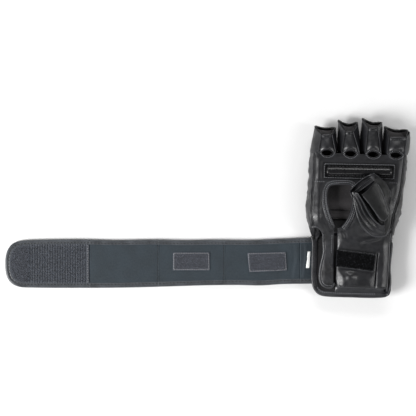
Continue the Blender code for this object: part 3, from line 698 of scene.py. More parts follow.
def sweep(name, path, profile, kind, up=(0, 0, 1), swell=None, worn=None, **how):
    """A closed profile of (across, up) points carried along a path, with rounded ends."""
    path, profile = np.asarray(path, float), np.asarray(profile, float)
    heading = unit(np.gradient(path, axis=0))
    across = unit(np.cross(heading, np.broadcast_to(np.asarray(up, float), path.shape)))
    upward = np.cross(across, heading)
    size = np.ones(len(path)) if swell is None else np.asarray(swell, float)
    ring = profile[None, :, :1] * across[:, None] + profile[None, :, 1:] * upward[:, None]
    points = path[:, None] + ring * size[:, None, None]
    core = profile.mean(axis=0)
    radius = min(0.6, np.abs(profile - core).max() * 0.35)
    caps = []
    for index, sign in ((0, -1), (-1, 1)):
        centre = path[index] + (across[index] * core[0] + upward[index] * core[1]) * size[index]
        caps.append(centre + (points[index] - centre) * 0.82 + heading[index] * sign * radius)
    points = np.concatenate([caps[0][None], points, caps[1][None]])
    rows, columns = points.shape[:2]
    paleness = None if worn is None else np.tile(worn, rows)
    return add_piece(name, points.reshape(-1, 3), tube_faces(rows, columns), kind, paleness, **how)


def round_profile(radius, flatten=1.0):
    turn = circle(10)
    return pair(radius * np.cos(turn), radius * flatten * np.sin(turn))


def piping(name, path, radius, kind="edge_leather", flatten=1.0, **how):
    """A round cord or turned edge along a path, by default in highlit leather: a painted highlight along it."""
    return sweep(name, path, round_profile(radius, flatten), kind, **how)


# One stitch: how far along its half length each ring stands, and the ring's share of the radius
STITCH_RINGS = ((-1.0, 0.25), (-0.85, 0.8), (-0.3, 1.0), (0.3, 1.0), (0.85, 0.8), (1.0, 0.25))


def stitches(name, path, length=2.3, gap=1.3, radius=0.36, up=(0, 0, 1), kind="thread", zigzag=0.0, **how):
    """A row of raised thread stitches along a line of points."""
    path = np.asarray(path, float)
    count = max(1, int(line_length(path) / (length + gap)))
    marks = resampled(path, count * 2 + 1)
    up = np.asarray(up, float)
    points, faces = [], []
    turn = circle(6)
    for k in range(count):
        before, middle, after = marks[2 * k], marks[2 * k + 1], marks[2 * k + 2]
        along = (after - before) / max(np.linalg.norm(after - before), 1e-9)
        across = np.cross(along, up)
        across /= np.linalg.norm(across)
        lean = zigzag * (1 if k % 2 else -1)
        along = along + across * lean
        along /= np.linalg.norm(along)
        lift = np.cross(across, along)
        first = len(points)
        for u, r in STITCH_RINGS:
            centre = middle + along * u * length / 2 + lift * radius * (0.55 - 0.9 * u * u)
            for a in turn:
                rim = across * math.cos(a) * 1.15 + lift * math.sin(a) * 0.8
                points.append(centre + rim * radius * r)
        faces += tube_faces(6, 6, first)
    return add_piece(name, points, faces, kind, **how)


def flat_at(level):
    """A height function with the same height everywhere."""
    return lambda x, y: np.full(np.shape(x), level)


def on_surface(line, top, lift=0.0):
    """A 2-D line laid on a height function."""
    line = np.asarray(line, float)
    return np.column_stack([line, top(line[:, 0], line[:, 1]) + lift])


# ---- surfaces of the glove ----------------------------------------------------------------

def knuckle_line(x):
    """The y where the palm ends and the fingers begin."""
    return 62.2 - 0.035 * (x - 130.0)


def palm_plain(x, y):
    """Top of the palm leather without its folds: a plateau that drops at wrist, sides and hem."""
    wrist = WRIST_DROP * (1.0 - ramp(y, -45.0, -6.0))
    edge = np.minimum(x - left_side(y), right_side(y) - x)
    side = 4.0 * (1.0 - np.clip(edge, 0.0, 14.0) / 14.0) ** 2
    hem = 2.4 * ramp(-y, 89.0, 96.5)
    return PALM_Z - wrist - side - hem


def fold(x, y, start, end, width, depth):
    """A furrow between two points, with a soft lip on each side."""
    a, b = np.array(start), np.array(end)
    p = pair(x, y) - a
    f = np.clip(p @ (b - a) / ((b - a) @ (b - a)), 0.0, 1.0)
    gap = np.hypot(*np.moveaxis(p - f[..., None] * (b - a), -1, 0)) / width
    fade = arch(np.clip(f, 0.06, 0.94)) ** 0.5
    return depth * fade * (1.0 - 1.5 * gap ** 2) * np.exp(-gap ** 2)


# Furrows of the palm: start, end, width and depth
FOLDS = [((148.8, -23.0), (152.6, -35.0), 2.6, 1.4), ((152.6, -24.0), (156.6, -35.0), 2.0, -1.1),
         ((126.0, 20.0), (124.0, -20.0), 2.6, 1.0), ((121.0, 24.0), (119.0, -14.0), 1.8, -1.0),
         ((130.0, -12.0), (136.5, -28.0), 2.2, 0.9), ((173.0, -37.4), (195.0, -33.4), 3.0, 1.6),
         ((198.5, -36.0), (198.5, -90.0), 3.2, 0.3), ((124.5, 58.0), (124.0, 36.0), 2.2, 0.8),
         ((164.0, -28.0), (172.0, -42.0), 3.2, 0.3), ((150.5, -70.0), (153.5, -88.0), 4.0, 1.0),
         ((212.0, 56.0), (214.5, 10.0), 3.0, 0.7), ((203.0, -6.0), (206.0, 22.0), 2.6, 0.7)]
UNDER_TAB_PATCH = [(150.0, -57.4), (184.0, -61.8)]
SLIT = [(146.4, -24.0), (146.0, -96.0)]
PATCH = [(129.8, 51.1), (129.3, 32.8), (210.2, 31.2), (211.3, 49.5)]


def seam_distance(x, y):
    """How far a point of the palm is from the nearest seam that holds the leather down."""
    points = pair(np.ravel(x), np.ravel(y))
    ys = np.linspace(60.0, CUFF_END, 20)
    seams = [(PALM_HOLE[::2], 4.6), ([*PATCH, PATCH[0]], 0.5), (pair(left_side(ys) + PALM_SEAM, ys), 0.8),
             (pair(palm_right(ys), ys), 0.8), (UNDER_TAB_PATCH, 12.0), ((CREASE_TOP, CREASE_FOOT), 0.3),
             (SLIT, 0.3), ([(x0, knuckle_line(x0)) for x0 in (114.0, 228.0)], 2.5)]
    best = np.full(len(points), 1e9)
    for line, margin in seams:
        line = np.array(line)
        best = np.minimum(best, distance_to(points, line[:-1], line[1:]) - margin)
    return np.maximum(best, 0.0).reshape(np.shape(x))


def palm_top(x, y):
    """Top of the palm leather, which swells between its seams and lies in folds."""
    at = pair(x, y)
    free = 1.0 - np.exp(-seam_distance(x, y) / 5.0)
    relief = 1.5 + 1.3 * ripple(at, 20.0, 1.0) + 0.6 * ripple(at, 8.0, 2.0) + 0.16 * ripple(at, 3.5, 3.0)
    for start, end, width, depth in FOLDS:
        relief = relief + fold(x, y, start, end, width, depth)
    beside_slit = 1.5 * np.exp(-np.abs(x - 146.2) / 3.4) * ramp(-y, 23.0, 30.0)
    roll = np.where(x > 144.0, beside_slit, 0.0)
    return palm_plain(x, y) + free * relief - roll


def back_floor(y):
    """Height of the back leather's middle, which the cuff under the wrist lifts."""
    return 5.2 * (1.0 - ramp(y, HAND_FOOT, -12.0))


def turned_up(f):
    """Share of the turned-up edge's height, for f from -1 at the left side to 1 at the right."""
    return np.clip((np.abs(f) - 0.62) / 0.38, 0.0, 1.0) ** 2.6


def vent(name, steps=24):
    """The lens-shaped vent at the root of a finger, as a closed loop of points."""
    x0 = FINGERS[name].vent_x
    turn = circle(steps)
    x = x0 + VENT_HALF[0] * np.cos(turn)
    depth = VENT_HALF[1] * np.sin(turn) * (0.55 + 0.45 * np.abs(np.sin(turn)))
    return pair(x, knuckle_line(x) + depth)


# ---- stage, camera and light --------------------------------------------------------------

def make_stage():
    """Pale floor, four soft boxes and the camera that looks straight down."""
    bpy.ops.mesh.primitive_plane_add(size=30.0, location=(0.0, 0.0, -0.0004))
    floor = bpy.context.object
    floor.name = "floor"
    paint = bpy.data.materials.new("floor_paint")
    paint.use_nodes = True
    sockets = paint.node_tree.nodes["Principled BSDF"].inputs
    sockets["Base Color"].default_value = (0.86, 0.86, 0.86, 1.0)
    sockets["Roughness"].default_value = 0.9
    floor.data.materials.append(paint)
    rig.stage(floor)

    world = bpy.data.worlds.new("studio")
    world.use_nodes = True
    sockets = world.node_tree.nodes["Background"].inputs
    sockets["Color"].default_value = (1.0, 1.0, 1.0, 1.0)
    sockets["Strength"].default_value = 0.15
    bpy.context.scene.world = world

    for name, place, size, power in (("key", (-1.55, -0.55, 1.2), (0.9, 1.0), 56.0),
                                     ("fill", (1.6, -0.3, 1.1), (0.4, 1.5), 12.0),
                                     ("back", (0.1, 1.7, 1.2), (1.8, 0.5), 17.0),
                                     ("front", (0.3, -1.7, 1.2), (1.6, 0.4), 5.0)):
        lamp = bpy.data.lights.new(name, "AREA")
        lamp.shape = "RECTANGLE"
        lamp.size, lamp.size_y = size
        lamp.energy = power
        holder = bpy.data.objects.new(name, lamp)
        holder.location = place
        holder.rotation_euler = (-Vector(place)).to_track_quat("-Z", "Y").to_euler()
        holder.visible_camera = False
        bpy.context.scene.collection.objects.link(holder)

    camera = bpy.data.cameras.new("camera")
    camera.sensor_width = 36.0
    camera.lens = camera.sensor_width * CAMERA_HEIGHT / VIEW_WIDTH
    camera.clip_end = 100.0
    holder = bpy.data.objects.new("camera", camera)
    holder.location = (-CENTRE[0] * MM, -CENTRE[1] * MM, CAMERA_HEIGHT)
    bpy.context.scene.collection.objects.link(holder)
    bpy.context.scene.camera = holder
    bpy.context.scene.view_settings.view_transform = "Standard"


# ---- hand ---------------------------------------------------------------------------------

HOLE_LEFT = [(142.4, -21.5), (137.4, -9.0), (134.3, 2.0), (133.4, 12.0), (134.4, 21.0)]
HOLE_TOP = [(138.6, 26.0), (149.0, 27.2), (159.4, 26.8)]
HOLE_RIGHT = [(163.0, 23.5), (164.1, 13.0), (162.9, 2.0), (160.4, -7.5), (156.4, -15.7), (151.7, -21.9)]
PALM_HOLE = curve([*HOLE_LEFT, *HOLE_TOP, *HOLE_RIGHT], 6)
THUMB_MOUTH = (171.5, 29.0)
THUMB_AXIS = (-0.605, 0.796)


def thumb_xy(s, t):
    """A point of the thumb stall's own grid, s back from the mouth and t across, on the drafting grid."""
    ax, ay = THUMB_AXIS
    return THUMB_MOUTH[0] - ax * s + ay * t, THUMB_MOUTH[1] - ay * s - ax * t


def finger_seam(x, y):
    """True on the line where the palm leather and the finger strips are one."""
    return np.abs(y - knuckle_line(x)) < 0.6


PALM_CORNER = [(119.6, -21.0), (123.2, -21.2), (126.4, -23.2), (128.8, -26.2), (130.0, -28.6)]


def half_vent(name, side):
    """The part of a vent's outline on the palm (side -1) or on the finger (side 1), from left to right."""
    half = np.array([p for p in vent(name, 32) if side * (p[1] - knuckle_line(p[0])) >= -1e-6])
    return half[np.argsort(half[:, 0])]


def tab_line(x, y):
    """True on the line where the tab bends up from the palm leather."""
    return (np.abs(y - mix(-45.6, -51.1, (x - 146.4) / 46.4)) < 0.3) & (x > 147) & (x < 191.8)


def make_palm():
    """The palm leather, with the D-shaped hole and the hole under the thumb stall."""
    up, down = np.linspace(-19.2, 60.0, 30), np.linspace(60.0, -92.4, 50)
    corner = left_side(62.0) + PALM_SEAM
    outline = [*zip(left_side(up) + PALM_SEAM, up), (corner, knuckle_line(corner)),
               *[p for name in FINGERS for p in half_vent(name, -1)],
               (palm_right(62.0), knuckle_line(222.0)), *zip(palm_right(down), down),
               (CREASE_FOOT[0] + 0.6, -91.8), (CREASE_TOP[0] + 0.4, CREASE_TOP[1] + 0.4),
               (146.4, -45.6), (146.4, -22.5), *PALM_HOLE[::-1],
               (142.4, TONGUE_ROOT), (130.4, TONGUE_ROOT), *curve(PALM_CORNER, 3)[::-1]]
    turn = circle(28)
    hole = pair(*thumb_xy(48.0 + 14.0 * np.cos(turn), -11.0 + 10.0 * np.sin(turn)))

    def joined(x, y):
        at_tongue = (np.abs(y - TONGUE_ROOT) < 0.2) & (x < 142)
        return finger_seam(x, y) | tab_line(x, y) | at_tongue

    sheet("palm_leather", outline, palm_top, LEATHER, "leather", holes=[hole], spacing=1.8, joined=joined,
          nodes=["palm_panel"])


def make_palm_seams():
    """The seam that crosses the palm behind the grip patch, in its two visible stretches."""
    for side, a, b in (("left", (119.6, 30.2), (131.5, 29.6)), ("right", (203.5, 28.4), (213.0, 28.0))):
        line = resampled([a, b], 16)
        stitches("palm_seam_stitches_" + side, on_surface(line, palm_top, 0.1), 1.2, 0.9, 0.3)
        below = on_surface(line - [0.0, 1.3], palm_top, -0.1)
        piping("palm_seam_" + side, below, 0.5, "leather", 0.7)


def make_palm_corner():
    """Piping round the palm's corner at the wrist, in highlit leather as painted highlight, and the wall's loose fold
    under it.
    """
    path = resampled(curve([(117.8, -21.8), *PALM_CORNER]), 40)
    # Painted highlight: the piping is in the paler highlit leather
    piping("palm_corner_piping", on_surface(path, palm_plain, -0.4), 1.2)
    y, f = np.meshgrid(np.linspace(-19.0, -37.0, 24), np.linspace(0, 1, 20), indexing="ij")
    x = mix(left_side(y) + 3.5, 129.0 - 4.0 * ramp(-y, 29.0, 37.0), f)
    z = mix(26.0, 15.2, ramp(-y, 20.0, 37.0)) + 1.8 * ripple(pair(x, y), 3.4, 17.0)
    z = z - 3.5 * np.abs(2 * f - 1) ** 4
    grid = np.stack([x, y, z], axis=-1)
    skin("wrist_fold", grid, 1.0, "leather")


def make_hole_binding():
    """Leather strip folded over the rim of the palm hole, with two rows of stitches; its rolled edge, its welt and a
    thin rim on its left part are painted paler as highlights.
    """
    rim = resampled(PALM_HOLE, 90)
    path = on_surface(rim, palm_plain)
    profile = [(0.9, -1.9), (1.3, -0.9), (1.0, 0.3), (0.2, 0.95), (-0.8, 0.85), (-1.4, 0.55), (-2.1, 0.9),
               (-3.0, 0.9), (-3.6, 0.5), (-4.2, 0.8), (-4.9, 0.6), (-5.2, 0.1), (-4.2, 0.05), (-0.3, 0.1),
               (0.3, -0.5), (0.4, -1.6)]
    # Painted highlight: paler on the rolled edge and the welt
    worn = [0.3, 0.5, 0.6, 0.2] + [0.0] * 6 + [0.3, 0.5] + [0.0] * 4
    sweep("palm_hole_edge", path, profile, "leather", worn=worn, nodes=["palm_hole_binding"])
    # Painted highlight: a pale piping along the rim's lower-left part
    lit = on_surface(sideways(rim, 0.2)[1:44], palm_plain, 0.75)
    piping("palm_hole_rim", lit, 0.45)
    for row, offset in (("inner", 1.4), ("outer", 3.6)):
        line = sideways(rim, offset)[2:-2]
        stitches("palm_hole_stitches_" + row, on_surface(line, palm_plain, 0.7), 1.15, 0.85, 0.34)


def make_grip():
    """Leather rectangle under the fingers, sewn down all round, with the padded bar on it; the rectangle is drawn
    near-black as painted shade of the bar's recess.
    """
    # Painted shade: the patch is near-black for the shadow round the bar
    sheet("grip_patch_leather", PATCH, lambda x, y: 35.0 + 0.25 * ripple(pair(x, y), 11.0, 4.0), 1.1,
          "black_leather", spacing=2.2, edge=0.5, nodes=["grip_patch"])
    inset = [(131.2, 49.7), (130.8, 34.2), (208.8, 32.7), (209.8, 48.2), (131.2, 49.7)]
    border = at_height(inset, 35.05)
    for number, (a, b) in enumerate(zip(border, border[1:]), start=1):
        stitches("grip_patch_stitches_%d" % number, [a, b], 1.1, 0.8, 0.36)
    profile = [(-4.6, 0.0), (-4.8, 1.0), (-4.5, 2.2), (-3.7, 3.4), (-2.4, 4.4), (-0.6, 4.9), (1.4, 4.9),
               (3.2, 4.4), (4.3, 3.3), (4.7, 1.6), (4.5, 0.0), (0.0, -0.2)]
    path = [(mix(133.9, 205.7, f), mix(41.9, 40.7, f), 35.6) for f in np.linspace(0, 1, 32)]
    swell = np.ones(32)
    swell[:2], swell[-2:] = (0.93, 0.985), (0.985, 0.93)
    sweep("grip_bar_leather", path, profile, "gloss_leather", swell=swell, nodes=["grip_bar"])
    for side, offset in (("top", 5.3), ("bottom", -5.3)):
        line = [(134.5, 41.9 + offset, 35.15), (205.0, 40.7 + offset, 35.15)]
        stitches("grip_bar_stitches_" + side, line, 2.4, 1.4, 0.3, kind="dark_thread")


def make_side_panels():
    """Puffed leather walls between the back of the hand and the palm."""
    for word, side, edge, top, start in (
            ("little", -1, left_side, lambda y: left_side(y) + PALM_SEAM, -36.0),
            ("thumb", 1, right_side, palm_right, -37.0)):
        name = "side_wall_" + word
        ys = np.linspace(start, 61.9, 70)
        rows = []
        for y in ys:
            inset = side * (1.3 * ramp(y, 52.0, 61.5) + (1.8 * ramp(-y, 30.0, 32.5) if side > 0 else 0.0))
            foot_x, head_x = edge(y) - inset, top(y)
            foot_z = back_floor(y) + 10.4
            head_z = float(palm_plain(top(y), y)) - LEATHER + 0.9
            if side < 0:
                low = 1.0 - ramp(y, -35.0, -25.0)
                head_z = mix(head_z, 13.6, low)
                head_x = mix(head_x, foot_x + 4.0, low)
            bulge = ((foot_x - side * 0.1, 0.2), (foot_x + side * 0.3, 0.45),
                     (mix(foot_x, head_x, 0.22), 0.76), (mix(foot_x, head_x, 0.6), 0.98))
            points = [(foot_x - side * 1.6, foot_z - 0.4), *[(x, mix(foot_z, head_z, f)) for x, f in bulge],
                      (head_x + side * 0.5, head_z - 0.5)]
            x, z = resampled(curve(points, 4), 22).T
            rows.append(np.column_stack([x, np.full(22, y), z]))
        grid = np.array(rows)
        wave = ripple(grid * [0.5, 0.7, 0.3], 5.0, 3.0 + side)
        wave = wave + 0.5 * ripple(grid * [1.0, 1.0, 0.3], 3.0, 5.0)
        fade = np.sin(np.linspace(0, math.pi, 22)) ** 0.7
        grid[..., 0] += side * 1.15 * wave * fade
        grid[..., 2] += 0.5 * wave * fade
        upper, lower = thickened(grid, side * LEATHER * 0.9)
        slab(name, upper, lower, "leather", nodes=["side_panel_" + word])
        along = ys[ys > -26.0]
        seam = np.column_stack([top(along) + side * 0.2, along, palm_plain(top(along), along) + 0.2])
        stitches(name + "_stitches", seam - [side * 2.0, 0, -0.35], 1.2, 1.0, 0.3,
                 kind="thread" if side > 0 else "dark_thread")
        piping(name + "_welt", seam[1:-1], 0.6, "leather", 0.7)


def back_rows(start, end, inward, lift, rise, rows=40, columns=61):
    """Rows across the dished back of the hand."""
    f = np.linspace(-1, 1, columns)
    grid = []
    for v in np.linspace(0, 1, rows):
        y_mid = mix(start, min(end, 60.0), v)
        x = mix(left_side(y_mid) + inward, right_side(y_mid) - inward, (f + 1) / 2)
        y = mix(start, np.minimum(end, knuckle_line(x) - 0.6), v)
        grid.append(np.stack([x, y, back_floor(y) + lift + rise * turned_up(f)], axis=1))
    return np.array(grid)


CLEFTS = (147.3, 173.2, 197.9)  # x of the channels between the knuckle pads


def back_relief(x, y):
    """Quilting of the back leather: channels between the knuckle pads and across the hand."""
    channels = sum(bell(x, cleft, 1.5) * ramp(y, 20.0, 26.0) for cleft in CLEFTS)
    channels = channels + bell(y, 19.0 + 0.0009 * (x - 170.0) ** 2, 1.4)
    channels = channels + bell(y, -14.0 - 0.0012 * (x - 166.0) ** 2, 1.4)
    return 1.5 * np.clip(channels, 0.0, 1.0)


def back_skin(x, y):
    """Lowest face of the back leather."""
    f = 2 * (x - left_side(y) - 1.2) / (right_side(y) - left_side(y) - 2.4) - 1
    return back_floor(y) + 10.0 * turned_up(f) + back_relief(x, y) + 0.3


def make_back():
    """Quilted outer leather of the back, turned up along both sides."""
    outer = back_rows(HAND_FOOT, 70.0, 1.2, 0.0, 10.0)
    outer[..., 2] += back_relief(outer[..., 0], outer[..., 1])
    outer[..., 2] += 0.35 * (1 + ripple(outer, 7.0, 7.0)) * (outer[..., 2] > 0.3)
    inner = outer + [0.0, 0.0, LEATHER]
    inner[:, :8, 0] += 1.4
    inner[:, -8:, 0] -= 1.4
    slab("back_leather", inner, outer, "leather", nodes=["back_cover"])
    rows = [(str(number), pair(np.full(12, cleft - 2.4), np.linspace(26, 58, 12)))
            for number, cleft in enumerate(CLEFTS, start=1)]
    x = np.linspace(124.0, 208.0, 60)
    rows += [("knuckles", pair(x, 16.6 + 0.0009 * (x - 170.0) ** 2)),
             ("wrist", pair(x, -16.6 - 0.0012 * (x - 166.0) ** 2))]
    for name, line in rows:
        stitches("back_stitches_" + name, on_surface(line, back_skin), 2.4, 1.4, 0.32, up=(0, 0, -1))


def make_hand_pads():
    """Two foam blocks in the dish of the back leather."""
    for name, start, end, node in (("hand_foam", HAND_FOOT + 3.0, 17.0, "hand_pad"),
                                   ("knuckle_foam", 20.0, 58.0, "knuckle_pad")):
        lower = back_rows(start, end, 4.8, 3.4, 6.0, rows=16, columns=31)
        upper = lower.copy()
        f = np.linspace(-1, 1, 31)
        upper[..., 2] = 16.0 - 1.6 * turned_up(f) + 0.15 * ripple(upper, 8.0, 9.0)
        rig.padded(slab(name, upper, lower, "foam", nodes=[node]), 0.9)


def make_linings():
    """Fabric over the foam, in two layers that end below the palm hole, with painted light on the parts seen in the
    hole.
    """
    x, y = np.meshgrid(np.linspace(0, 1, 40), np.linspace(-1.5, 58.0, 36))
    left, right = left_side(y) + 6.0, right_side(y) - 6.0
    bow = 3.0 * np.abs(2 * x - 1) ** 4
    hang = 0.5 * ramp(y, 6.0, -1.5)
    grid = np.stack([mix(left, right, x), y + 0.6 * np.sin(x * 9.0) * (y < 0), 19.4 + bow - hang], axis=-1)
    grid[..., 2] += 0.22 * ripple(grid, 11.0, 11.0) + 1.1 * ramp(y, -1.5, 3.5)
    # Painted light: the lining is paler towards the hole
    lit = 0.75 * ramp(y, 16.0, 3.0) * (0.8 + 0.2 * ripple(grid, 6.0, 12.0)) * ramp(y, -1.5, 1.0)
    made = skin("hand_lining_cloth", grid, 1.0, "lining", lit=lit, nodes=["hand_lining"])
    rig.sheet(made, (0.103, 0.0625), held="laid", rests_on=["hand_foam", "knuckle_foam"], area=0.0060)
    grid = flat_grid((122.0, 203.0, 40), (-12.4, 8.0, 14), 17.6)
    grid[..., 2] += 0.3 * np.sin(grid[..., 1] * 0.5)
    # Painted light: a pale band across the lining band
    lit = bell(grid[..., 1], -8.6, 1.6)
    made = skin("lining_band_cloth", grid, 1.0, "lining", lit=lit, nodes=["lining_band"])
    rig.sheet(made, (0.081, 0.0205), held="laid", rests_on=["hand_foam"])


# ---- fingers --------------------------------------------------------------------------------

def finger_bend(name):
    """The blend of a finger's pieces, round its hinge at the knuckle line."""
    x = FINGERS[name].vent_x
    y = knuckle_line(x)
    return ("glove", "finger_" + name, (x, y - 10.0, FINGER_HINGE_Z), (x, y + 8.0, FINGER_HINGE_Z))


def finger_rise(v):
    """How much higher than its root a lobe lies, a share v of the way to its mouth."""
    return 5.0 * np.clip(v, 0.0, 1.0) ** 2


def lobe_side(name, side, v):
    """The x of a lobe's left or right side, a share v of the way from knuckle to mouth."""
    finger, index = FINGERS[name], 0 if side < 0 else 1
    bulge = finger.bulge[index] * arch(np.clip(v, 0.0, 1.0) ** 0.8) ** 0.8
    return mix(finger.base[index], finger.mouth[index], v) + side * bulge


def lobe(name, inward, lift, spread=90.0, rows=26, columns=33, tucked=True, short=0.0):
    """Rows of a curled back lobe, from inside the back leather to the finger's mouth."""
    tip, dip = FINGERS[name].tip, FINGERS[name].dip
    stops = [(k, 0.0) for k in (-9.0, -6.0, -3.0, -1.2)] if tucked else []
    stops += [(0.0, v) for v in np.linspace(0, 1, rows)]
    angle = np.radians(np.linspace(-spread, spread, columns))
    f = np.sign(angle) * np.abs(np.sin(angle)) ** 0.8
    grid = []
    for back, v in stops:
        tuck = 1.0 if back else max(0.0, 1 - v * 22)
        left = lobe_side(name, -1, v) + inward + 1.9 * tuck
        right = lobe_side(name, 1, v) - inward - 1.9 * tuck
        x = (left + right) / 2 + (right - left) / 2 * f
        end = mix(tip[0], tip[1], (f + 1) / 2) - dip * (1 - f * f) - short
        y = mix(knuckle_line(x) - 0.2 + back, end, v)
        rise = (FINGER_RISE - lift) * (1 - np.cos(angle))
        grid.append(np.stack([x, y, finger_rise(v) + lift + 1.9 * tuck + rise], axis=1))
    return np.array(grid)


def strip_top(y):
    """Height of the palm-side strips without their crowns."""
    return STRIP_Z - 0.05 * (y - 62.0)


def make_lobe(name):
    """A finger's back leather, curled up into a trough, with its cushion."""
    body, bend = "finger_" + name, finger_bend(name)
    outer = lobe(name, 0.0, 0.0)
    inner = lobe(name, LEATHER, LEATHER)
    across = np.linspace(-1, 1, outer.shape[1])
    length = np.linspace(0, 1, 26)
    channel = bell(length, 0.46, 0.05) + bell(length, 0.86, 0.03)
    for side in (outer, inner):
        side[4:, :, 2] += 1.2 * channel[:, None] * (1 - np.abs(across)) ** 0.5
    outer[4:, :, 0] -= 0.3 * (1 + ripple(outer[4:], 5.0, len(name))) * np.abs(across) ** 2 * np.sign(across)
    slab(body + "_lobe", inner, outer, "leather", bend=bend, nodes=[body + "_cover"])
    within = lobe(name, LEATHER + 0.5, LEATHER + 0.9, spread=74.0, rows=24, columns=27, tucked=False,
                  short=1.8)
    v = np.linspace(0, 1, 24)
    fullness = arch(np.clip(0.08 + 0.92 * v, 0, 1))[:, None] ** 0.6
    fullness = fullness * np.sin(np.linspace(0.12, math.pi - 0.12, 27)) ** 0.5
    upper = within + [0.0, 0.0, 0.9]
    upper[..., 2] = np.maximum(upper[..., 2], finger_rise(v)[:, None] + LEATHER + 1.8 + 10.0 * fullness)
    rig.padded(slab(body + "_cushion", upper, within, "lining", bend=bend, nodes=[body + "_pad"]), 0.8)


def make_mouth_edge(name):
    """Turned edge round a finger's mouth: thick on the lobe, thin up the walls to the strip."""
    body, bend = "finger_" + name, finger_bend(name)
    arc = lobe(name, 0.35, 0.5, spread=88.0, columns=27, tucked=False)[-1] + [0.0, -0.3, 0.5]
    (left, right), end = FINGERS[name].strip_mouth, FINGERS[name].strip_end
    corners = [(x + inset, end, strip_top(end) - 1.6) for x, inset in ((left, 0.2), (right, -0.2))]
    path = softened(resampled(np.vstack([corners[0], arc, corners[1]]), 80), 6)
    f = np.linspace(0, 1, 80)
    swell = mix(0.34, 1.0, ramp(f, 0.22, 0.36) * ramp(1 - f, 0.22, 0.36))
    swell = swell * (1 + 0.1 * ripple(path, 3.5, len(name)))
    piping(body + "_mouth_edge", path, 1.75, "black_leather", 1.35, up=(0.05, -1, 0.02), swell=swell,
           bend=bend)


def make_strip(name):
    """A finger's palm-side strip, from the vent to its stitched hem."""
    body, bend = "finger_" + name, finger_bend(name)
    base, mouth, end = FINGERS[name].strip_base, FINGERS[name].strip_mouth, FINGERS[name].strip_end
    middle = ((base[0] + base[1]) / 2, (mouth[0] + mouth[1]) / 2)
    half = ((base[1] - base[0]) / 2, (mouth[1] - mouth[0]) / 2)

    def top(x, y):
        v = np.clip((y - 62.0) / (end - 62.0), 0.0, 1.0)
        f = np.clip((x - mix(*middle, v)) / mix(*half, v), -1.0, 1.0)
        crown = 3.0 * (1 - f * f) * ramp(v, 0.02, 0.26) * (1 - 0.85 * ramp(v, 0.35, 1.0))
        hem = 0.45 * ramp(y, end - 3.6, end - 3.0)
        groove = -0.5 * bell(y, end - 3.2, 0.6)
        return strip_top(y) + crown + hem + groove - 1.4 * np.abs(f) ** 3 * ramp(v, 0.0, 0.2)

    corners = [(mouth[1], end - 1.0), (mouth[1] - 0.8, end), (mouth[0] + 0.8, end), (mouth[0], end - 1.0)]
    outline = [(base[0], knuckle_line(base[0])), *half_vent(name, 1), (base[1], knuckle_line(base[1])),
               *curve(corners, 3)]
    sheet(body + "_strip_leather", outline, top, LEATHER, "leather", spacing=1.5, joined=finger_seam,
          bend=bend, nodes=[body + "_strip"])
    hem = resampled([(mouth[1] - 1.2, end - 3.2), (mouth[0] + 1.2, end - 3.2)], 12)
    stitches(body + "_hem_stitches", on_surface(hem, top, 0.3), 1.4, 1.0, 0.3, kind="dark_thread",
             bend=bend)


def make_gusset(name, side):
    """Side wall of a finger stall, with a raised fold along the strip; the right fold is drawn paler as painted
    highlight.
    """
    body, finger, index = "finger_" + name, FINGERS[name], 0 if side < 0 else 1
    outer_wall = (name == "little" and side < 0) or (name == "index" and side > 0)
    stops = [(-9.0 if outer_wall else -3.0, 0.0), (-2.0, 0.0), *[(0.0, v) for v in np.linspace(0, 1, 22)]]
    w = np.linspace(0, 1, 18)
    grid = []
    for back, v in stops:
        depth = 0.6 if outer_wall else 1.8
        tuck = side * depth * (1.0 if back else max(0.0, 1 - v * 12))
        foot_x = lobe_side(name, side, v) - side * 0.2 - tuck
        head_x = mix(finger.strip_base[index], finger.strip_mouth[index], v) + side * 0.5 - tuck * 0.3
        foot_y = mix(knuckle_line(foot_x), finger.tip[index] - 0.8, v) + back
        head_y = mix(knuckle_line(head_x), finger.strip_end + 0.2, v) + back
        foot_z = finger_rise(v) + FINGER_RISE - 0.6
        head_z = strip_top(head_y) - 1.5
        lean = mix(3.0, 1.7, v) if outer_wall else 1.6
        slouch = 1.1 * arch(w) * arch(min(1.0, v + 0.1))
        if name == "index" and side > 0:
            slouch = slouch + 2.6 * arch(w ** 0.7) * v ** 0.8
        x = mix(foot_x, head_x, w ** lean) + side * slouch
        grid.append(np.column_stack([x, mix(foot_y, head_y, w), mix(foot_z, head_z, w)]))
    grid = np.array(grid)
    fade = arch(w) ** 0.6
    grid[..., 0] += 0.45 * ripple(grid * [1.0, 1.0, 0.5], 5.0, 20.0 + index + len(name)) * fade
    word = "left" if side < 0 else "right"
    upper, lower = thickened(grid, side * 1.2)
    bend = finger_bend(name)
    slab("%s_wall_%s" % (body, word), upper, lower, "leather", bend=bend,
         nodes=["%s_gusset_%s" % (body, word)])
    seam = resampled(grid[2:-1, -1] + [-side * 0.25, 0.0, 0.8], 34)
    size = mix(0.55, 1.0, arch(np.linspace(0.05, 0.95, 34)))
    # Painted highlight: the right fold is paler than the left one, as if lit
    piping("%s_fold_%s" % (body, word), seam, 0.55, "leather" if side < 0 else "edge_leather", 1.3,
           bend=bend, swell=size)


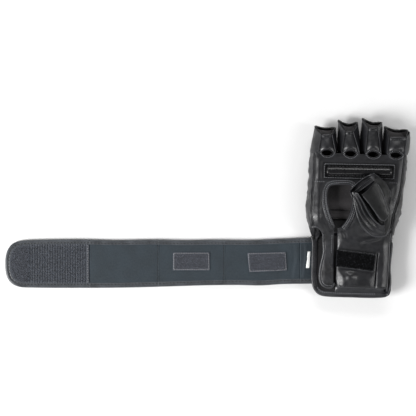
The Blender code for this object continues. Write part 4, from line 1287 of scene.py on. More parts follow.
def make_vents():
    """Welt and buttonhole stitches round each vent: the finger's half bends with it; the welts are painted paler as
    highlight.
    """
    for name in FINGERS:
        loop = vent(name, 48)
        x0 = FINGERS[name].vent_x
        y0 = knuckle_line(x0)
        away = unit(loop - [x0, y0])
        for half, chosen in (("upper", loop[:, 1] >= y0 - 1e-6), ("lower", loop[:, 1] <= y0 + 1e-6)):
            order = np.argsort(loop[chosen][:, 0])
            rim, out = loop[chosen][order], away[chosen][order]
            how = {"bend": finger_bend(name)} if half == "upper" else {}
            welt = at_height(rim + out * 0.7, PALM_Z + 0.45)
            # Painted highlight: the welt is drawn half-way to the glossy leather's pale edge colour
            piping("vent_welt_%s_%s" % (name, half), welt, 0.55, "gloss_leather", 0.9, worn=[0.5] * 10,
                   **how)
            ring = at_height(rim + out * 2.1, PALM_Z + 0.35)
            stitches("vent_stitches_%s_%s" % (name, half), ring, 0.9, 0.7, 0.32, **how)


def make_fingers():
    for name in FINGERS:
        make_lobe(name)
        make_mouth_edge(name)
        make_strip(name)
        make_gusset(name, -1)
        make_gusset(name, 1)
    make_vents()


# ---- thumb ----------------------------------------------------------------------------------

FRONT_LIP = [(9.4, 7.0), (10.6, 1.0), (11.0, -5.0)]
FRONT_LEFT = [(10.6, -9.2), (20.0, -8.4), (32.0, -8.3), (43.5, -8.6), (47.6, -7.9)]
FRONT_RIGHT = [(49.8, -3.6), (46.6, 2.2), (34.2, 7.2), (21.5, 10.8), (7.6, 12.7)]
STALL_LEFT = [(0.6, -16.8), (14.0, -20.5), (30.0, -26.4), (44.0, -27.6), (56.0, -24.6), (63.5, -17.0)]
STALL_RIGHT = [(64.3, -14.6), (61.0, -5.0), (50.0, 4.4), (38.6, 9.6), (34.0, 13.4), (30.9, 18.2),
               (24.0, 20.2), (13.0, 19.8), (0.4, 16.9)]
STALL_RIM = [(1.4, -15.8), (12.0, -19.4), (24.0, -24.2), (33.0, -27.2), (44.0, -28.2), (56.0, -25.2),
             (63.0, -18.0), (64.6, -12.0), (61.6, -5.0)]
# The stall's side from the front panel (share 0) to the palm (share 1), each with its lift
GAP = [(0.0, 0.0), (0.03, -1.2), (0.09, -2.1), (0.2, -2.3), (0.3, -1.8)]
PLEATS = [(0.27, -2.2), (0.3, 0.1), (0.35, 1.0), (0.385, 0.9), (0.4, 0.1), (0.38, -0.9), (0.46, -0.5),
          (0.55, 0.4), (0.6, 0.9), (0.625, 0.7), (0.635, -0.1), (0.61, -1.0), (0.7, -0.5), (0.78, 0.3),
          (0.83, 0.8), (0.855, 0.6), (0.865, -0.2), (0.84, -1.0), (0.92, -0.5), (1.0, 0.0)]
PLEAT_EDGES = (0.365, 0.61, 0.84)


def thumb_rest(x, y):
    """What the stall lies on: the palm, and the grip bar beyond it."""
    low = palm_plain(x, y) + 2.0
    return mix(low, GRIP_TOP, ramp(y, 17.0, 29.0))


def thumb_front_z(s):
    """Height of the front panel's edge, s back from the mouth."""
    return 54.0 - 0.2 * s


def make_thumb_front():
    """Front panel of the stall, a tongue-shaped flap with a rounded foot, edged with a paler piping as painted
    highlight.
    """
    left, right = curve(FRONT_LEFT), curve(FRONT_RIGHT)
    foot = curve([(46.0, -8.2), (47.6, -7.9), (49.4, -6.4), (50.0, -4.9), (49.8, -3.6), (49.0, -1.8)])[6:-6]
    outline = np.vstack([left, foot, right])
    rim = resampled(outline[2:-2], 90)
    outline = np.vstack([outline, FRONT_LIP])
    ax, ay = THUMB_AXIS

    def top(x, y):
        dx, dy = x - THUMB_MOUTH[0], y - THUMB_MOUTH[1]
        s, t = -ax * dx - ay * dy, ay * dx - ax * dy
        near = np.interp(s, left[:, 0], left[:, 1])
        far = np.interp(s, right[::-1, 0], right[::-1, 1])
        w = np.clip((t - near) / np.maximum(far - near, 1.0), 0.0, 1.0)
        return thumb_front_z(s) + 1.5 + 0.8 * arch(w) * ramp(s, 52.0, 40.0)

    sheet("thumb_front_leather", pair(*thumb_xy(*outline.T)), top, 1.4, "smooth_leather", spacing=1.8,
          edge=0.7, body="thumb", nodes=["thumb_front"])
    # Painted highlight: the pale rim line round the panel
    piping("thumb_front_edge", on_surface(pair(*thumb_xy(*rim.T)), top, -0.75), 0.6, body="thumb")


def thumb_side(inner_line, outer_line, profile, rows=44):
    """Grid from the front panel's edge down to the palm, pleated to a profile of (share, lift)."""
    near, far = resampled(curve(inner_line), rows), resampled(curve(outer_line), rows)
    profile = curve(profile, 3)
    w, lift = profile[:, 0], profile[:, 1]
    grid = []
    for k, (a, b) in enumerate(zip(near, far)):
        v = k / (rows - 1)
        s, t = mix(a[0], b[0], w), mix(a[1], b[1], w)
        top = thumb_front_z(a[0]) + 0.1
        foot = thumb_rest(*thumb_xy(b[0], b[1])) + 2.8
        depth = mix(0.6, 2.0, arch(min(1.0, v * 1.15)) ** 0.5)
        z = mix(top, foot, w) + 1.4 * arch(w) + lift * depth
        grid.append(np.stack([*thumb_xy(s, t), z], axis=1))
    return np.array(grid)


def make_thumb_sides():
    """The pleated side of the stall, its plain side and the rim round its base; a near-black sheet fills the gap by
    the front panel as painted shade, and pale pipings on the pleat edges, wall edge and rim are painted highlights.
    """
    near = [(s, t + 0.9) for s, t in FRONT_LEFT] + [(48.9, -5.2)]
    far = [*STALL_LEFT[:-1], (62.6, -18.4), (65.0, -14.2)]
    grid = thumb_side(near, far, GAP)
    # Painted shade: the gap beside the front panel is a near-black sheet
    skin("thumb_gap_left", grid, 1.1, "black_leather", body="thumb", nodes=["thumb_gusset_left"])
    grid = thumb_side(near, far, PLEATS)
    skin("thumb_pleats", grid, 1.1, "leather", body="thumb")
    shares = curve(PLEATS, 3)[:, 0]
    for number, share in enumerate(PLEAT_EDGES, start=1):
        line = resampled(grid[:, int(np.argmin(np.abs(shares - share)))], 60) + [0.0, 0.0, 0.1]
        size = mix(0.5, 1.0, arch(np.linspace(0.04, 0.96, 60)))
        # Painted highlight on each pleat edge
        piping("thumb_pleat_edge_%d" % number, line, 0.45, body="thumb", swell=size)
    near = [(48.9, -5.4), (48.8, -3.2), (45.6, 1.2), (33.7, 6.1), (21.1, 9.7), (7.8, 11.5)]
    plain = [(w, 0.3 * math.sin(w * 9.0) * w) for w in np.linspace(0, 1, 12)]
    grid = thumb_side(near, [(65.0, -14.4), *STALL_RIGHT[1:]], plain)
    skin("thumb_wall_right", grid, 1.3, "smooth_leather", body="thumb", nodes=["thumb_gusset_right"])
    line = resampled(grid[16:, -1], 50) + [0.0, 0.0, 0.2]
    # Painted highlight on the wall's edge
    piping("thumb_wall_edge", line, 0.55, body="thumb")
    rim = pair(*thumb_xy(*curve(STALL_RIM).T))
    path = resampled(on_surface(rim, thumb_rest, 2.2), 90)
    size = mix(0.5, 1.0, ramp(np.linspace(0, 1, 90), 0.15, 0.5))
    # Painted highlight on the base rim
    piping("thumb_base_rim", path, 1.15, body="thumb", swell=size)


def make_thumb_back():
    """Rear panel of the stall, whose hem shows in the mouth, with pale pipings as painted highlights on its edges."""
    s, f = np.meshgrid(np.concatenate([np.linspace(0.3, 9.0, 34), np.linspace(10.0, 30.0, 12)]),
                       np.linspace(0, 1, 26), indexing="ij")

    def back_top(s, f):
        x, y = thumb_xy(s - 2.8 * (1 - (2 * f - 1) ** 2) * np.exp(-s / 2.5), mix(-16.2 - s * 0.3, 16.0, f))
        band = 1.5 * ramp(s, 3.5, 4.0) * (1 - ramp(s, 7.1, 7.5))
        groove = -1.3 * ramp(s, 0.9, 1.5) * (1 - ramp(s, 3.1, 3.6)) - 1.0 * ramp(s, 7.4, 8.2)
        roll = 0.9 * bell(s, 0.5, 0.5)
        edge = 7.0 * np.abs(2 * f - 1) ** 6 * np.exp(-s / 14.0)
        return np.stack([x, y, thumb_rest(x, y) + 1.7 + band + groove + roll + edge], axis=-1)

    grid = back_top(s, f)
    skin("thumb_back_leather", grid, 1.2, "leather", body="thumb", nodes=["thumb_back"])
    f = np.linspace(0.06, 0.94, 40)
    for name, s, radius in (("mouth", 0.4, 0.5), ("band", 4.0, 0.3), ("hem", 7.0, 0.5)):
        line = back_top(np.full(40, s), f) + [0.0, 0.0, 0.15]
        # Painted highlight: pale lines along the mouth, band and hem
        piping("thumb_%s_edge" % name, line, radius, body="thumb")
    stitches("thumb_mouth_stitches", back_top(np.full(40, 5.5), f), 0.9, 0.8, 0.28, kind="dark_thread",
             body="thumb")


def make_thumb_sleeve():
    """Soft leather sleeve from the palm's hole up into the stall, hidden while the thumb lies flat."""
    turn = np.linspace(0, 2 * math.pi, 41)
    rows = []
    for v in np.linspace(0, 1, 16):
        reach = 1.0 + 0.06 * math.sin(v * math.pi * 6)
        s = 48.0 + 15.0 * reach * np.cos(turn) - 2.0 * v
        t = -11.0 + 11.0 * reach * np.sin(turn)
        rows.append(on_surface(pair(*thumb_xy(s, t)), palm_plain, 5.0 * v - 0.4))
    grid = np.array(rows)
    middle = grid[:, :, :2].mean(axis=(0, 1))
    inner = grid.copy()
    inner[..., :2] = middle + (grid[..., :2] - middle) * 0.94
    low, high = float(grid[0, :, 2].mean()), float(grid[-1, :, 2].mean())
    slab("thumb_sleeve", grid, inner, "leather",
         bend=("glove", "thumb", (*middle, low + 0.6), (*middle, high - 0.4)))


def make_thumb():
    make_thumb_front()
    make_thumb_sides()
    make_thumb_back()
    make_thumb_sleeve()
    seam = curve([(211.8, 11.0), (211.4, -2.0), (210.2, -14.0), (206.6, -26.0), (201.8, -33.0)])
    for row, offset in (("inner", 0.0), ("outer", 2.2)):
        line = sideways(seam, -offset)
        stitches("thumb_root_stitches_" + row, on_surface(line, palm_top, 0.05), 1.7, 1.2, 0.32,
                 kind="thread" if row == "outer" else "dark_thread")


# ---- wrist ----------------------------------------------------------------------------------

CUFF_CORNERS = (9.0, 4.0)
CUFF_ROUTE = [(119.0, -33.8), (119.9, -42.0), (119.3, -62.0), (119.2, -82.0), (121.6, -92.0),
              (128.0, -98.2), (139.2, -100.0), (162.0, -100.7), (185.0, -101.4), (200.0, -100.8),
              (204.4, -99.4)]
CUFF_BAND = [(-2.4, -0.5), (-2.4, 0.4), (-1.2, 0.75), (0.4, 0.75), (1.6, 0.5), (1.8, -0.4), (0.0, -0.8)]


def cuff_wall(y):
    """The x of the cuff's right wall."""
    return right_side(y) - 2.0 * (1.0 - ramp(-y, 32.0, 46.0))


def cuff_rows(inward, lift, rises, end=CUFF_END, rows=34, columns=49, hem=3.0, tucked=False):
    """Rows across the dished cuff, whose end has a wide left corner and a tight right one."""
    f = np.linspace(-1, 1, columns)
    stops = [(HAND_FOOT + 5.0, 1.8), (HAND_FOOT + 1.2, 1.8)] if tucked else []
    stops += [(y, 0.0) for y in np.linspace(HAND_FOOT - 0.4, end, rows)]
    grid = []
    for y, tuck in stops:
        corners = [r * (1.0 - math.sqrt(max(0.0, 1.0 - max(0.0, (end + r - y) / r) ** 2)))
                   for r in CUFF_CORNERS]
        left = left_side(y) + 1.2 + inward[0] + tuck
        right = cuff_wall(y) - inward[1] - tuck
        rise = np.where(f < 0, rises[0], rises[1]) * turned_up(f)
        z = 5.2 + lift + tuck + np.maximum(rise, hem * ramp(-y, 90.0, -CUFF_END))
        x = mix(left + corners[0], right - corners[1], (f + 1) / 2)
        grid.append(np.stack([x, np.full(columns, y), z], axis=1))
    return np.array(grid)


def make_cuff():
    """The cuff's leather dish, its foam and its lining, which is darkened as painted shade."""
    outer = cuff_rows((0.0, -0.6), 0.0, (6.2, 13.2), hem=6.6, tucked=True)
    outer[..., 2] += 0.3 * (1 + ripple(outer, 6.0, 13.0))
    outer[..., 2] += 0.9 * bell(outer[..., 1], -93.0, 1.0)
    inner = cuff_rows((1.4, 0.8), 1.5, (5.2, 12.0), hem=6.6, tucked=True)
    slab("cuff_leather", inner, outer, "leather", nodes=["cuff_cover"])
    lower = cuff_rows((3.2, 9.0), 2.6, (1.6, 2.2), end=CUFF_END + 11.5, rows=14, columns=21)
    upper = lower.copy()
    upper[..., 2] = 11.2
    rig.padded(slab("cuff_foam", upper, lower, "foam", nodes=["cuff_pad"]), 0.9)
    lining = cuff_rows((2.6, 6.0), 0.0, (0.0, 0.0), end=CUFF_END + 3.0, rows=26, columns=33)
    lining[..., 2] = 12.6 + 0.25 * ripple(lining, 9.0, 15.0)
    # Painted shade: the lining is near-black for the shadow inside the cuff
    made = skin("cuff_lining_cloth", lining, 1.0, "dark_lining", nodes=["cuff_lining"])
    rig.sheet(made, (0.082, 0.064), held="laid", rests_on=["cuff_foam"])


def make_cuff_edge():
    """Piping, turned band, rim and stitches round the cuff's open side; the piping, the band's end, the rim and the
    right seam's piping are paler as painted highlights.
    """
    flat = resampled(curve(CUFF_ROUTE), 150)
    y = np.linspace(-91.5, -40.0, 60)
    wall = at_height(pair(cuff_wall(y) - 0.1, y), 18.6)
    corner = [(206.1, -97.6, 13.8), (206.6, -94.6, 16.6)]
    path = softened(resampled(np.vstack([at_height(flat, 12.6), corner, wall]), 240), 4)
    full = ramp(-path[:, 1], 88.0, 97.0) + ramp(205.0 - path[:, 0], 0.0, 4.0)
    size = mix(0.75, 1.0, full).clip(0.75, 1.0)
    # Painted highlight: the piping is in highlit leather
    piping("cuff_piping", path, 1.4, swell=size, nodes=["cuff_binding"])
    band = at_height(sideways(flat, 2.6), 12.9)
    sweep("cuff_band_side", band[:66], CUFF_BAND, "leather")
    # Painted highlight: the band's end is a paler copy of the band's side
    sweep("cuff_band_end", band[65:148], CUFF_BAND, "edge_leather")
    on_rim = flat[(flat[:, 0] > 144.4) & (flat[:, 0] < 203.5) & (flat[:, 1] < -97.0)]
    f = np.linspace(0, 1, 12)[:, None]
    grid = mix(sideways(on_rim, 4.6)[:, None], sideways(on_rim, 13.6)[:, None], f)
    crest = mix(13.6, 19.6, ramp(grid[..., 0], 144.4, 150.0))
    z = mix(13.4, crest, f[:, 0]) + 0.6 * arch(f[:, 0]) + 0.3 * ripple(grid, 7.0, 19.0)
    # Painted highlight on the rim's lit slope
    skin("cuff_rim", np.dstack([grid, z]), 1.0, "rim_leather")
    stitches("cuff_stitches", at_height(sideways(flat, 3.4)[60:-14], 13.7), 1.4, 1.0, 0.32)
    side = at_height(sideways(flat, 1.9)[8:60], 13.6)
    stitches("cuff_stitches_side", side, 2.0, 1.3, 0.3, kind="dark_thread")
    y = np.linspace(HAND_FOOT + 2.0, CUFF_END + 4.0, 40)
    seam = pair(palm_right(y), y)
    # Painted highlight along the right seam
    piping("cuff_seam_right", on_surface(seam, palm_plain, -0.3) + [0.3, 0.0, 0.0], 0.6)


def tongue_top(x, y):
    at = pair(x, y)
    wrinkles = 0.45 * ripple(at * [1.0, 0.6], 3.2, 6.0) + 0.3 * ripple(at, 7.0, 7.0)
    drop = 6.5 * (1.0 - ramp(y, -92.0, -34.0))
    return palm_top(x, y) - drop + wrinkles * ramp(-y, 28.6, 34.0)


TONGUE_EDGE = [(130.2, -29.2), (130.4, -33.0), (130.6, -38.0), (131.2, -50.4), (128.2, -65.6),
               (127.0, -77.0), (129.0, -86.0), (134.7, -90.2), (140.4, -90.2), (143.8, -86.0)]


def make_tongue():
    """The loose tongue beside the slit, with its piping, hem and stitches; the piping is paler as painted highlight.
    """
    bend = ("glove", "palm_tongue", (136.0, -28.4, 27.2), (136.0, -36.0, 27.2))
    edge = curve(TONGUE_EDGE, 6)
    edge = edge[edge[:, 1] < -31.0]
    outline = [(142.4, TONGUE_ROOT), (129.6, TONGUE_ROOT), *sideways(edge, 1.0), (142.9, -80.0),
               (142.6, -50.0)]
    sheet("tongue_leather", outline, tongue_top, LEATHER, "suede", spacing=1.6, bend=bend,
          nodes=["palm_tongue"], joined=lambda x, y: np.abs(y - TONGUE_ROOT) < 0.2)
    path = resampled(curve(TONGUE_EDGE, 6), 110)
    # Painted highlight: the piping is in highlit leather
    piping("tongue_piping", on_surface(path, tongue_top, -LEATHER / 2 + 0.3), 1.25, bend=bend,
           nodes=["tongue_binding"])
    edge_right = resampled([(140.4, -30.0), (140.0, -46.0), (140.2, -62.0), (140.6, -84.0)], 60)
    piping("tongue_hem", on_surface(edge_right + [1.6, 0.0], tongue_top, -0.6), 0.55, "leather", bend=bend)
    foot = curve([(129.6, -83.0), (131.4, -86.2), (135.4, -88.0), (141.0, -88.2)])
    stitches("tongue_foot_stitches", on_surface(foot, tongue_top, 0.05), 1.2, 0.9, 0.3, bend=bend)
    line = on_surface(edge_right - [0.2, 0.0], tongue_top, 0.05)
    stitches("tongue_stitches_upper", line[:24], 1.0, 0.9, 0.28, bend=bend)
    stitches("tongue_stitches_lower", line[24:], 1.2, 0.9, 0.3, kind="dark_thread", bend=bend)


TAB_PATCH = [(146.0, -47.0), (144.9, -66.4), (187.6, -72.0), (189.6, -52.4)]


def make_tab():
    """The wrist tab between the slit and the crease, with the loop patch on it, whose top and bottom edges are painted
    highlights.
    """
    outline = [(146.4, -45.6), (145.4, -80.0), (146.4, -89.4), (168.0, -90.4),
               (CREASE_FOOT[0] - 0.2, -91.2), (CREASE_TOP[0] - 0.4, CREASE_TOP[1] + 0.4)]

    def top(x, y):
        dent = 3.0 * bell(x, 160.5 + 0.1 * (y + 80), 6.4)
        dent = dent * ramp(-y, 69.0, 77.0) * (1 - ramp(-y, 77.5, 88.0))
        hem = -0.5 * bell(y, -88.0 - 0.03 * (x - 150.0), 0.7)
        bow = 0.9 * bell(x, 190.0, 4.0) * ramp(-y, 54.0, 60.0)
        return palm_top(x, y) + dent + hem - bow

    body = "wrist_tab"
    sheet("tab_leather", outline, top, LEATHER, "leather", spacing=1.8, body=body, joined=tab_line,
          nodes=[body])
    line = resampled([(149.0, -87.6), (187.0, -89.0)], 30)
    stitches("tab_hem_stitches", on_surface(line, top, 0.2), 1.3, 1.1, 0.3, kind="dark_thread", body=body)
    level = PALM_Z - WRIST_DROP + 0.4
    sheet("tab_loop_cloth", TAB_PATCH, flat_at(level + 1.2), 1.2, "loop", spacing=1.6, edge=0.5, body=body,
          nodes=["tab_loop_patch"])
    pile("tab_loop_pile", TAB_PATCH, level + 1.15, 1500, body)
    top_left, bottom_left, bottom_right, top_right = TAB_PATCH
    for word, a, b, shift in (("top", top_left, top_right, -0.1),
                              ("bottom", bottom_left, bottom_right, 0.1)):
        line = resampled(at_height([a, b], level + 1.4), 40) + [0.0, shift, 0.0]
        # Painted highlight: pale lines along the patch's top and bottom edges
        piping("tab_patch_edge_" + word, line, 0.5, flatten=0.8, body=body)
        inner = line[1:-1] + [0.0, 9.0 * shift, -0.2]
        stitches("tab_patch_stitches_" + word, inner, 1.6, 1.0, 0.3, kind="dark_thread", body=body)


def pile(name, outline, level, count, body, height=0.9, kind="loop", down=False):
    """Tiny arched fibres scattered inside an outline, the same ones each time; a few have their tops painted pale as
    glints.
    """
    rng = np.random.default_rng(len(name))
    outline = np.asarray(outline, float)
    low, high = outline.min(axis=0), outline.max(axis=0)
    spots = low + rng.random((count * 2, 2)) * (high - low)
    spots = spots[inside(spots, outline)][:count]
    sign = -1.0 if down else 1.0
    points, faces, worn = [], [], []
    for x, y in spots:
        a, h, bright = rng.random() * 2 * math.pi, height * (0.5 + rng.random()), rng.random()
        along = np.array([math.cos(a), math.sin(a), 0.0])
        across = np.array([-along[1], along[0], 0.0])
        first = len(points)
        for u, z, r in ((-0.7, -0.2, 0.16), (-0.35, 0.75, 0.13), (0.35, 0.85, 0.13), (0.7, -0.2, 0.16)):
            centre = np.array([x, y, level + sign * z * h]) + along * u
            for p, q in ((1, 0), (0, 1), (-1, 0), (0, -1)):
                points.append(centre + across * p * r + (along * 0.3 + [0, 0, sign]) * q * r)
            # Painted highlight: a fifth of the fibres get pale tops
            worn += [max(0.0, bright - 0.8) * 5 if z > 0 else 0.0] * 4
        faces += tube_faces(4, 4, first)
    return add_piece(name, points, faces, kind, worn, body=body)


# ---- strap ----------------------------------------------------------------------------------

COLUMN = 2.9   # pitch of the hook panel's columns
TOP_EDGE = curve([(-206, -36.6), (-188, -36.1), (-147, -35.8), (-105, -36.7), (-64, -36.1), (-22, -36.8),
                  (5, -36.2), (47, -36.6), (74, -35.5), (102, -34.4), (126, -33.4)])
BOTTOM_EDGE = curve([(-206, -91.4), (-188, -91.7), (-147, -91.8), (-105, -91.6), (-64, -90.7), (-22, -89.4),
                     (5, -88.7), (33, -88.5), (60, -89.0), (88, -87.4), (126, -87.0)])
TIP = [(-206.0, -36.7), (-213.0, -37.1), (-219.4, -38.4), (-225.4, -41.6), (-229.8, -47.4), (-232.2, -55.0),
       (-232.8, -63.4), (-232.2, -73.0), (-229.6, -81.4), (-224.4, -87.2), (-217.4, -90.4), (-211.0, -91.3),
       (-206.0, -91.4)]
STRAP_MIDDLE = -62.7
STRAP_HINGE_Z = 4.4
LINING_FOLDS = ((99.0, 2.4), (110.0, 2.0), (121.0, 2.2))   # x and width of each fold near the cuff
# Section of the turned edge, outwards and up, and how much paler each of its points is drawn: rubbed at its outer
# edge, painted highlight on its welt
BINDING = [(0.0, 2.2), (0.25, 3.4), (1.0, 4.3), (2.2, 4.65), (3.2, 4.2), (3.95, 3.8), (4.6, 4.1),
           (5.3, 4.35), (5.9, 4.0), (6.0, 3.2), (5.9, 1.0), (5.6, 0.25), (4.8, 0.0), (2.0, 0.0),
           (0.9, 0.25), (0.25, 1.0)]
BINDING_WEAR_AND_HIGHLIGHT = [0.2, 0.1, *[0.0] * 5, 0.3, 0.5, 0.2, *[0.0] * 5, 0.1]


def strap_bend(a, b, start, end):
    """A blend between two bodies of the strap, from one x to another."""
    return (a, b, (start, STRAP_MIDDLE, STRAP_HINGE_Z), (end, STRAP_MIDDLE, STRAP_HINGE_Z))


# Stretches from cross seam to cross seam: right end, left end, how each bends, and the numbers of the
# CAD pieces that it stands for
STRETCHES = (
    (125.5, 105.5, strap_bend("glove", "strap_1", 120.5, 112.5), ()),
    (105.4, 18.4, strap_bend("strap_1", "strap_2", 94.5, 89.0), (1, 2)),
    (18.3, -57.3, strap_bend("strap_2", "strap_3", 6.5, 1.5), (3,)),
    (-57.4, -136.0, strap_bend("strap_3", "strap_4", -63.0, -71.0), (4,)),
)


def strap_y(edge, x):
    """The y of the strap's edge at x."""
    return np.interp(x, edge[:, 0], edge[:, 1])


def make_stretch(number, right, left, bend, nodes):
    """One stretch of the strap: turned edges with stitches, outer leather and lining."""
    x = np.linspace(right, left, max(16, int((right - left) / 1.4)))
    top, bottom = strap_y(TOP_EDGE, x), strap_y(BOTTOM_EDGE, x)
    tag = "_%d" % number
    for word, edge, sign in (("top", top, 1), ("bottom", bottom, -1)):
        path = at_height(pair(x, edge), 0.0)
        wobble = 1.0 + 0.03 * ripple(path, 5.0, number + sign)
        sweep("strap_edge_%s%s" % (word, tag), path, np.array(BINDING) * [-sign, 1.0], "strap_leather",
              worn=BINDING_WEAR_AND_HIGHLIGHT, swell=wobble, bend=bend)
        row = at_height(pair(x, edge - sign * 3.95), 3.95)
        stitches("strap_stitches_%s%s" % (word, tag), row, 2.5, 1.3, 0.5, kind="dark_thread", bend=bend)
    f = np.linspace(0, 1, 22)[:, None]
    y = mix(top - 5.7, bottom + 5.7, f)
    xs = np.broadcast_to(x, y.shape)
    under = np.dstack([xs, y, np.full(y.shape, 0.15)])
    under[..., 2] += 0.12 * (1 + ripple(under, 5.0, number))
    slab("strap_skin" + tag, np.dstack([xs, y, np.full(y.shape, 2.1)]), under, "strap_leather", bend=bend,
         nodes=["strap_leather_%d" % n for n in nodes] or ["strap_anchor"])
    y = mix(top - 5.3, bottom + 5.3, f)
    lining = np.dstack([xs, y, np.full(y.shape, LINING_TOP)])
    lining[..., 2] += 0.16 * ripple(lining, 11.0, 30.0 + number) + 0.35 * arch(f)
    for fold_x, width in LINING_FOLDS:
        off = xs - fold_x - 1.6 * np.sin(f * 5.0)
        lining[..., 2] += 0.8 * arch(f) ** 0.5 * off / width * bell(off, 0.0, width)
    made = slab("strap_cloth" + tag, lining, np.dstack([xs, y, np.full(y.shape, 2.2)]), "strap_lining",
                bend=bend, nodes=["strap_lining_%d" % n for n in nodes])
    flat = ((right - left) * MM, float(np.mean(top - bottom) - 10.6) * MM)
    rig.sheet(made, flat, held="laid", rests_on=["strap_skin" + tag])


def across_strap(x, inset, z):
    """A line from edge to edge of the strap."""
    return np.array([(x, strap_y(TOP_EDGE, x) - inset, z), (x, strap_y(BOTTOM_EDGE, x) + inset, z)])


def cross_seam(name, x, **how):
    """A stitched seam across the strap, with the fold of lining beside it."""
    line = across_strap(x, 6.4, LINING_TOP + 0.1)
    ridge = resampled(line, 30) + [0.9, 0.0, 0.1]
    piping(name + "_fold", ridge, 0.55, "strap_lining", 0.4, worn=[0.1] * 10, **how)
    stitches(name + "_stitches", line - [0.3, 0.0, -0.1], 1.5, 1.9, 0.42, kind="dark_thread", **how)


# One hook's rings: sideways reach, height and radius
HOOK_ARC = ((0.0, 0.0, 0.32), (0.05, 0.65, 0.28), (0.35, 1.0, 0.28), (0.75, 0.9, 0.26), (0.85, 0.6, 0.18))


def hook_field(name, area, level, kind, body, pitch=(1.45, 1.9), height=1.3, columns=False, outline=None):
    """Rows of tiny curved hooks over an area, or pairs of rows when they stand in columns, paler towards their tops as
    painted glints.
    """
    rng = np.random.default_rng(7)
    (x0, x1), (y0, y1) = area
    points, faces, worn = [], [], []
    xs = np.arange(x0, x1, pitch[0])
    if columns:
        crests = COLUMN * (np.arange(math.ceil(x0 / COLUMN), math.floor(x1 / COLUMN)) + 0.25)
        xs = np.sort(np.concatenate([crests - 0.55, crests + 0.55]))
    for i, x in enumerate(xs):
        for y in np.arange(y0, y1, pitch[1]):
            px, py = x + rng.normal(0, 0.16), y + (i % 2) * pitch[1] / 2 + rng.normal(0, 0.25)
            if outline is not None and not inside(np.array([[px, py]]), outline)[0]:
                continue
            side = 1.0 if rng.random() < 0.5 else -1.0
            tall = height * rng.uniform(0.7, 1.2)
            shine = max(0.0, rng.random() - 0.45) / 0.55
            first = len(points)
            for u, z, r in HOOK_ARC:
                centre = np.array([px, py + side * u, level + z * tall])
                for p, q in ((1, 0), (0, 1), (-1, 0), (0, -1)):
                    points.append(centre + np.array([p, q * 0.8, q * 0.5]) * r)
                # Painted highlight: paler towards each hook's top
                worn += [shine * z] * 4
            faces += tube_faces(5, 4, first)
    return add_piece(name, points, faces, kind, worn, body=body)


def hook_patch(name, corners, node, body):
    """Rectangle of hook tape with a stitched border."""
    level = 3.9
    corners = np.array(corners, float)
    sheet(name + "_tape", corners, flat_at(level + 1.1), 1.1, "pale_hook", spacing=2.0, edge=0.4, body=body,
          nodes=[node])
    area = zip(corners.min(axis=0) + 2.2, corners.max(axis=0) - 2.2)
    hook_field(name + "_hooks", area, level + 0.95, "pale_hook", body)
    centre = corners.mean(axis=0)
    loop = np.vstack([corners, corners[:1]])
    inset = at_height(centre + (loop - centre) * [0.955, 0.91], level + 1.15)
    for number, (a, b) in enumerate(zip(inset, inset[1:]), start=1):
        stitches("%s_stitches_%d" % (name, number), [a, b], 2.0, 0.5, 0.42, body=body, zigzag=0.3)


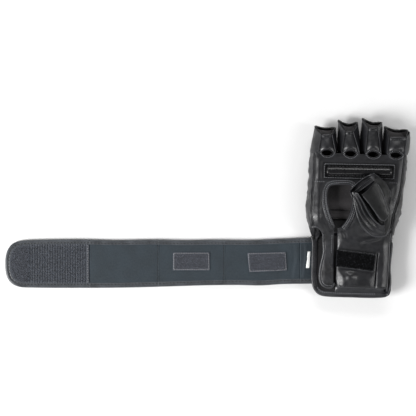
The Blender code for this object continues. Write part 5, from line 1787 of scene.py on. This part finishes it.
def make_strap_end():
    """The strap's last stretch, with its rounded tip and the hook panel."""
    body = "strap_4"
    x = np.linspace(-136.1, -200.0, 44)
    rim = np.vstack([pair(x, strap_y(TOP_EDGE, x)), resampled(curve(TIP), 70),
                     pair(x, strap_y(BOTTOM_EDGE, x))[::-1]])
    rim = softened(rim, 2)
    path = at_height(rim, 0.0)
    wobble = 1.0 + 0.025 * ripple(path, 5.0, 40.0)
    sweep("strap_edge_end", path, np.array(BINDING) * [-1.0, 1.0], "strap_leather", worn=BINDING_WEAR_AND_HIGHLIGHT,
          swell=wobble, body=body)
    stitches("strap_stitches_end", at_height(sideways(rim, 3.95), 3.95), 2.5, 1.3, 0.5, kind="dark_thread",
             body=body)
    sheet("strap_skin_end", sideways(rim, 5.7), flat_at(2.1), 1.9, "strap_leather", spacing=4.0, body=body,
          nodes=["strap_leather_4"])

    def ribbed(x, y):
        return 4.6 + 0.3 * np.sin(x * 2 * math.pi / COLUMN) * ramp(x, -208.0, -203.0)

    sheet("hook_panel_tape", sideways(rim, 5.2), ribbed, 2.4, "hook", spacing=1.0, edge=0.4, body=body,
          nodes=["hook_panel"])
    hook_field("hook_panel_hooks", ((-207.0, -138.0), (-85.0, -42.5)), 4.5, "hook", body, pitch=(1.45, 1.7),
               height=1.1, columns=True, outline=sideways(rim, 6.6))
    tip = sideways(rim, 6.8)
    pile("hook_tip_pile", tip[tip[:, 0] < -203.6], 4.55, 1700, body, kind="pale_hook", height=0.55)
    stitches("hook_panel_stitches", across_strap(-137.6, 6.0, 4.9), 2.0, 0.6, 0.42, body=body, zigzag=0.3)


def make_patches():
    """Hook patches, care label and the two loop fields on the outer side."""
    near = [(47.4, -73.4), (90.6, -71.7), (89.2, -50.6), (45.3, -51.6)]
    far = [(-40.1, -71.4), (2.0, -71.4), (1.6, -51.0), (-40.1, -51.0)]
    hook_patch("patch_near", near, "hook_patch_1", "strap_2")
    hook_patch("patch_far", far, "hook_patch_2", "strap_3")
    label = [(112.4, -68.8), (116.4, -68.8), (117.6, -49.9), (114.4, -49.9)]
    sheet("label_cloth", label, flat_at(4.3), 0.4, "label", spacing=1.5, edge=0.2, body="strap_1",
          nodes=["care_label"])
    grid = flat_grid((6.0, 88.0, 20), (-84.0, -40.4, 12), 0.8)
    skin("closing_loop_cloth", grid, 0.8, "loop", body="strap_2", nodes=["closing_loop"])
    grid = flat_grid((164.0, 200.0, 12), (-75.0, -51.0, 10), 5.0)
    skin("back_loop_cloth", grid, 1.2, "loop", nodes=["back_loop_patch"])
    patch = [(164.6, -51.6), (164.6, -74.4), (199.4, -74.4), (199.4, -51.6)]
    pile("back_loop_pile", patch, 3.9, 900, "glove", down=True, height=0.7)


def make_strap():
    for number, stretch in enumerate(STRETCHES, start=1):
        make_stretch(number, *stretch)
    cross_seam("strap_seam_right", 18.3, body="strap_2")
    cross_seam("strap_seam_left", -57.3, body="strap_3")
    make_strap_end()
    make_patches()


def main():
    make_stage()
    make_palm()
    make_palm_seams()
    make_palm_corner()
    make_hole_binding()
    make_grip()
    make_side_panels()
    make_back()
    make_hand_pads()
    make_linings()
    make_fingers()
    make_thumb()
    make_cuff()
    make_cuff_edge()
    make_tongue()
    make_tab()
    make_strap()


main()
sizes = {"cad": [list(corner) for corner in cad_box], "visual": [list(corner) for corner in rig.bounds()]}
with open("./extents.json", "w") as out:
    json.dump(sizes, out)
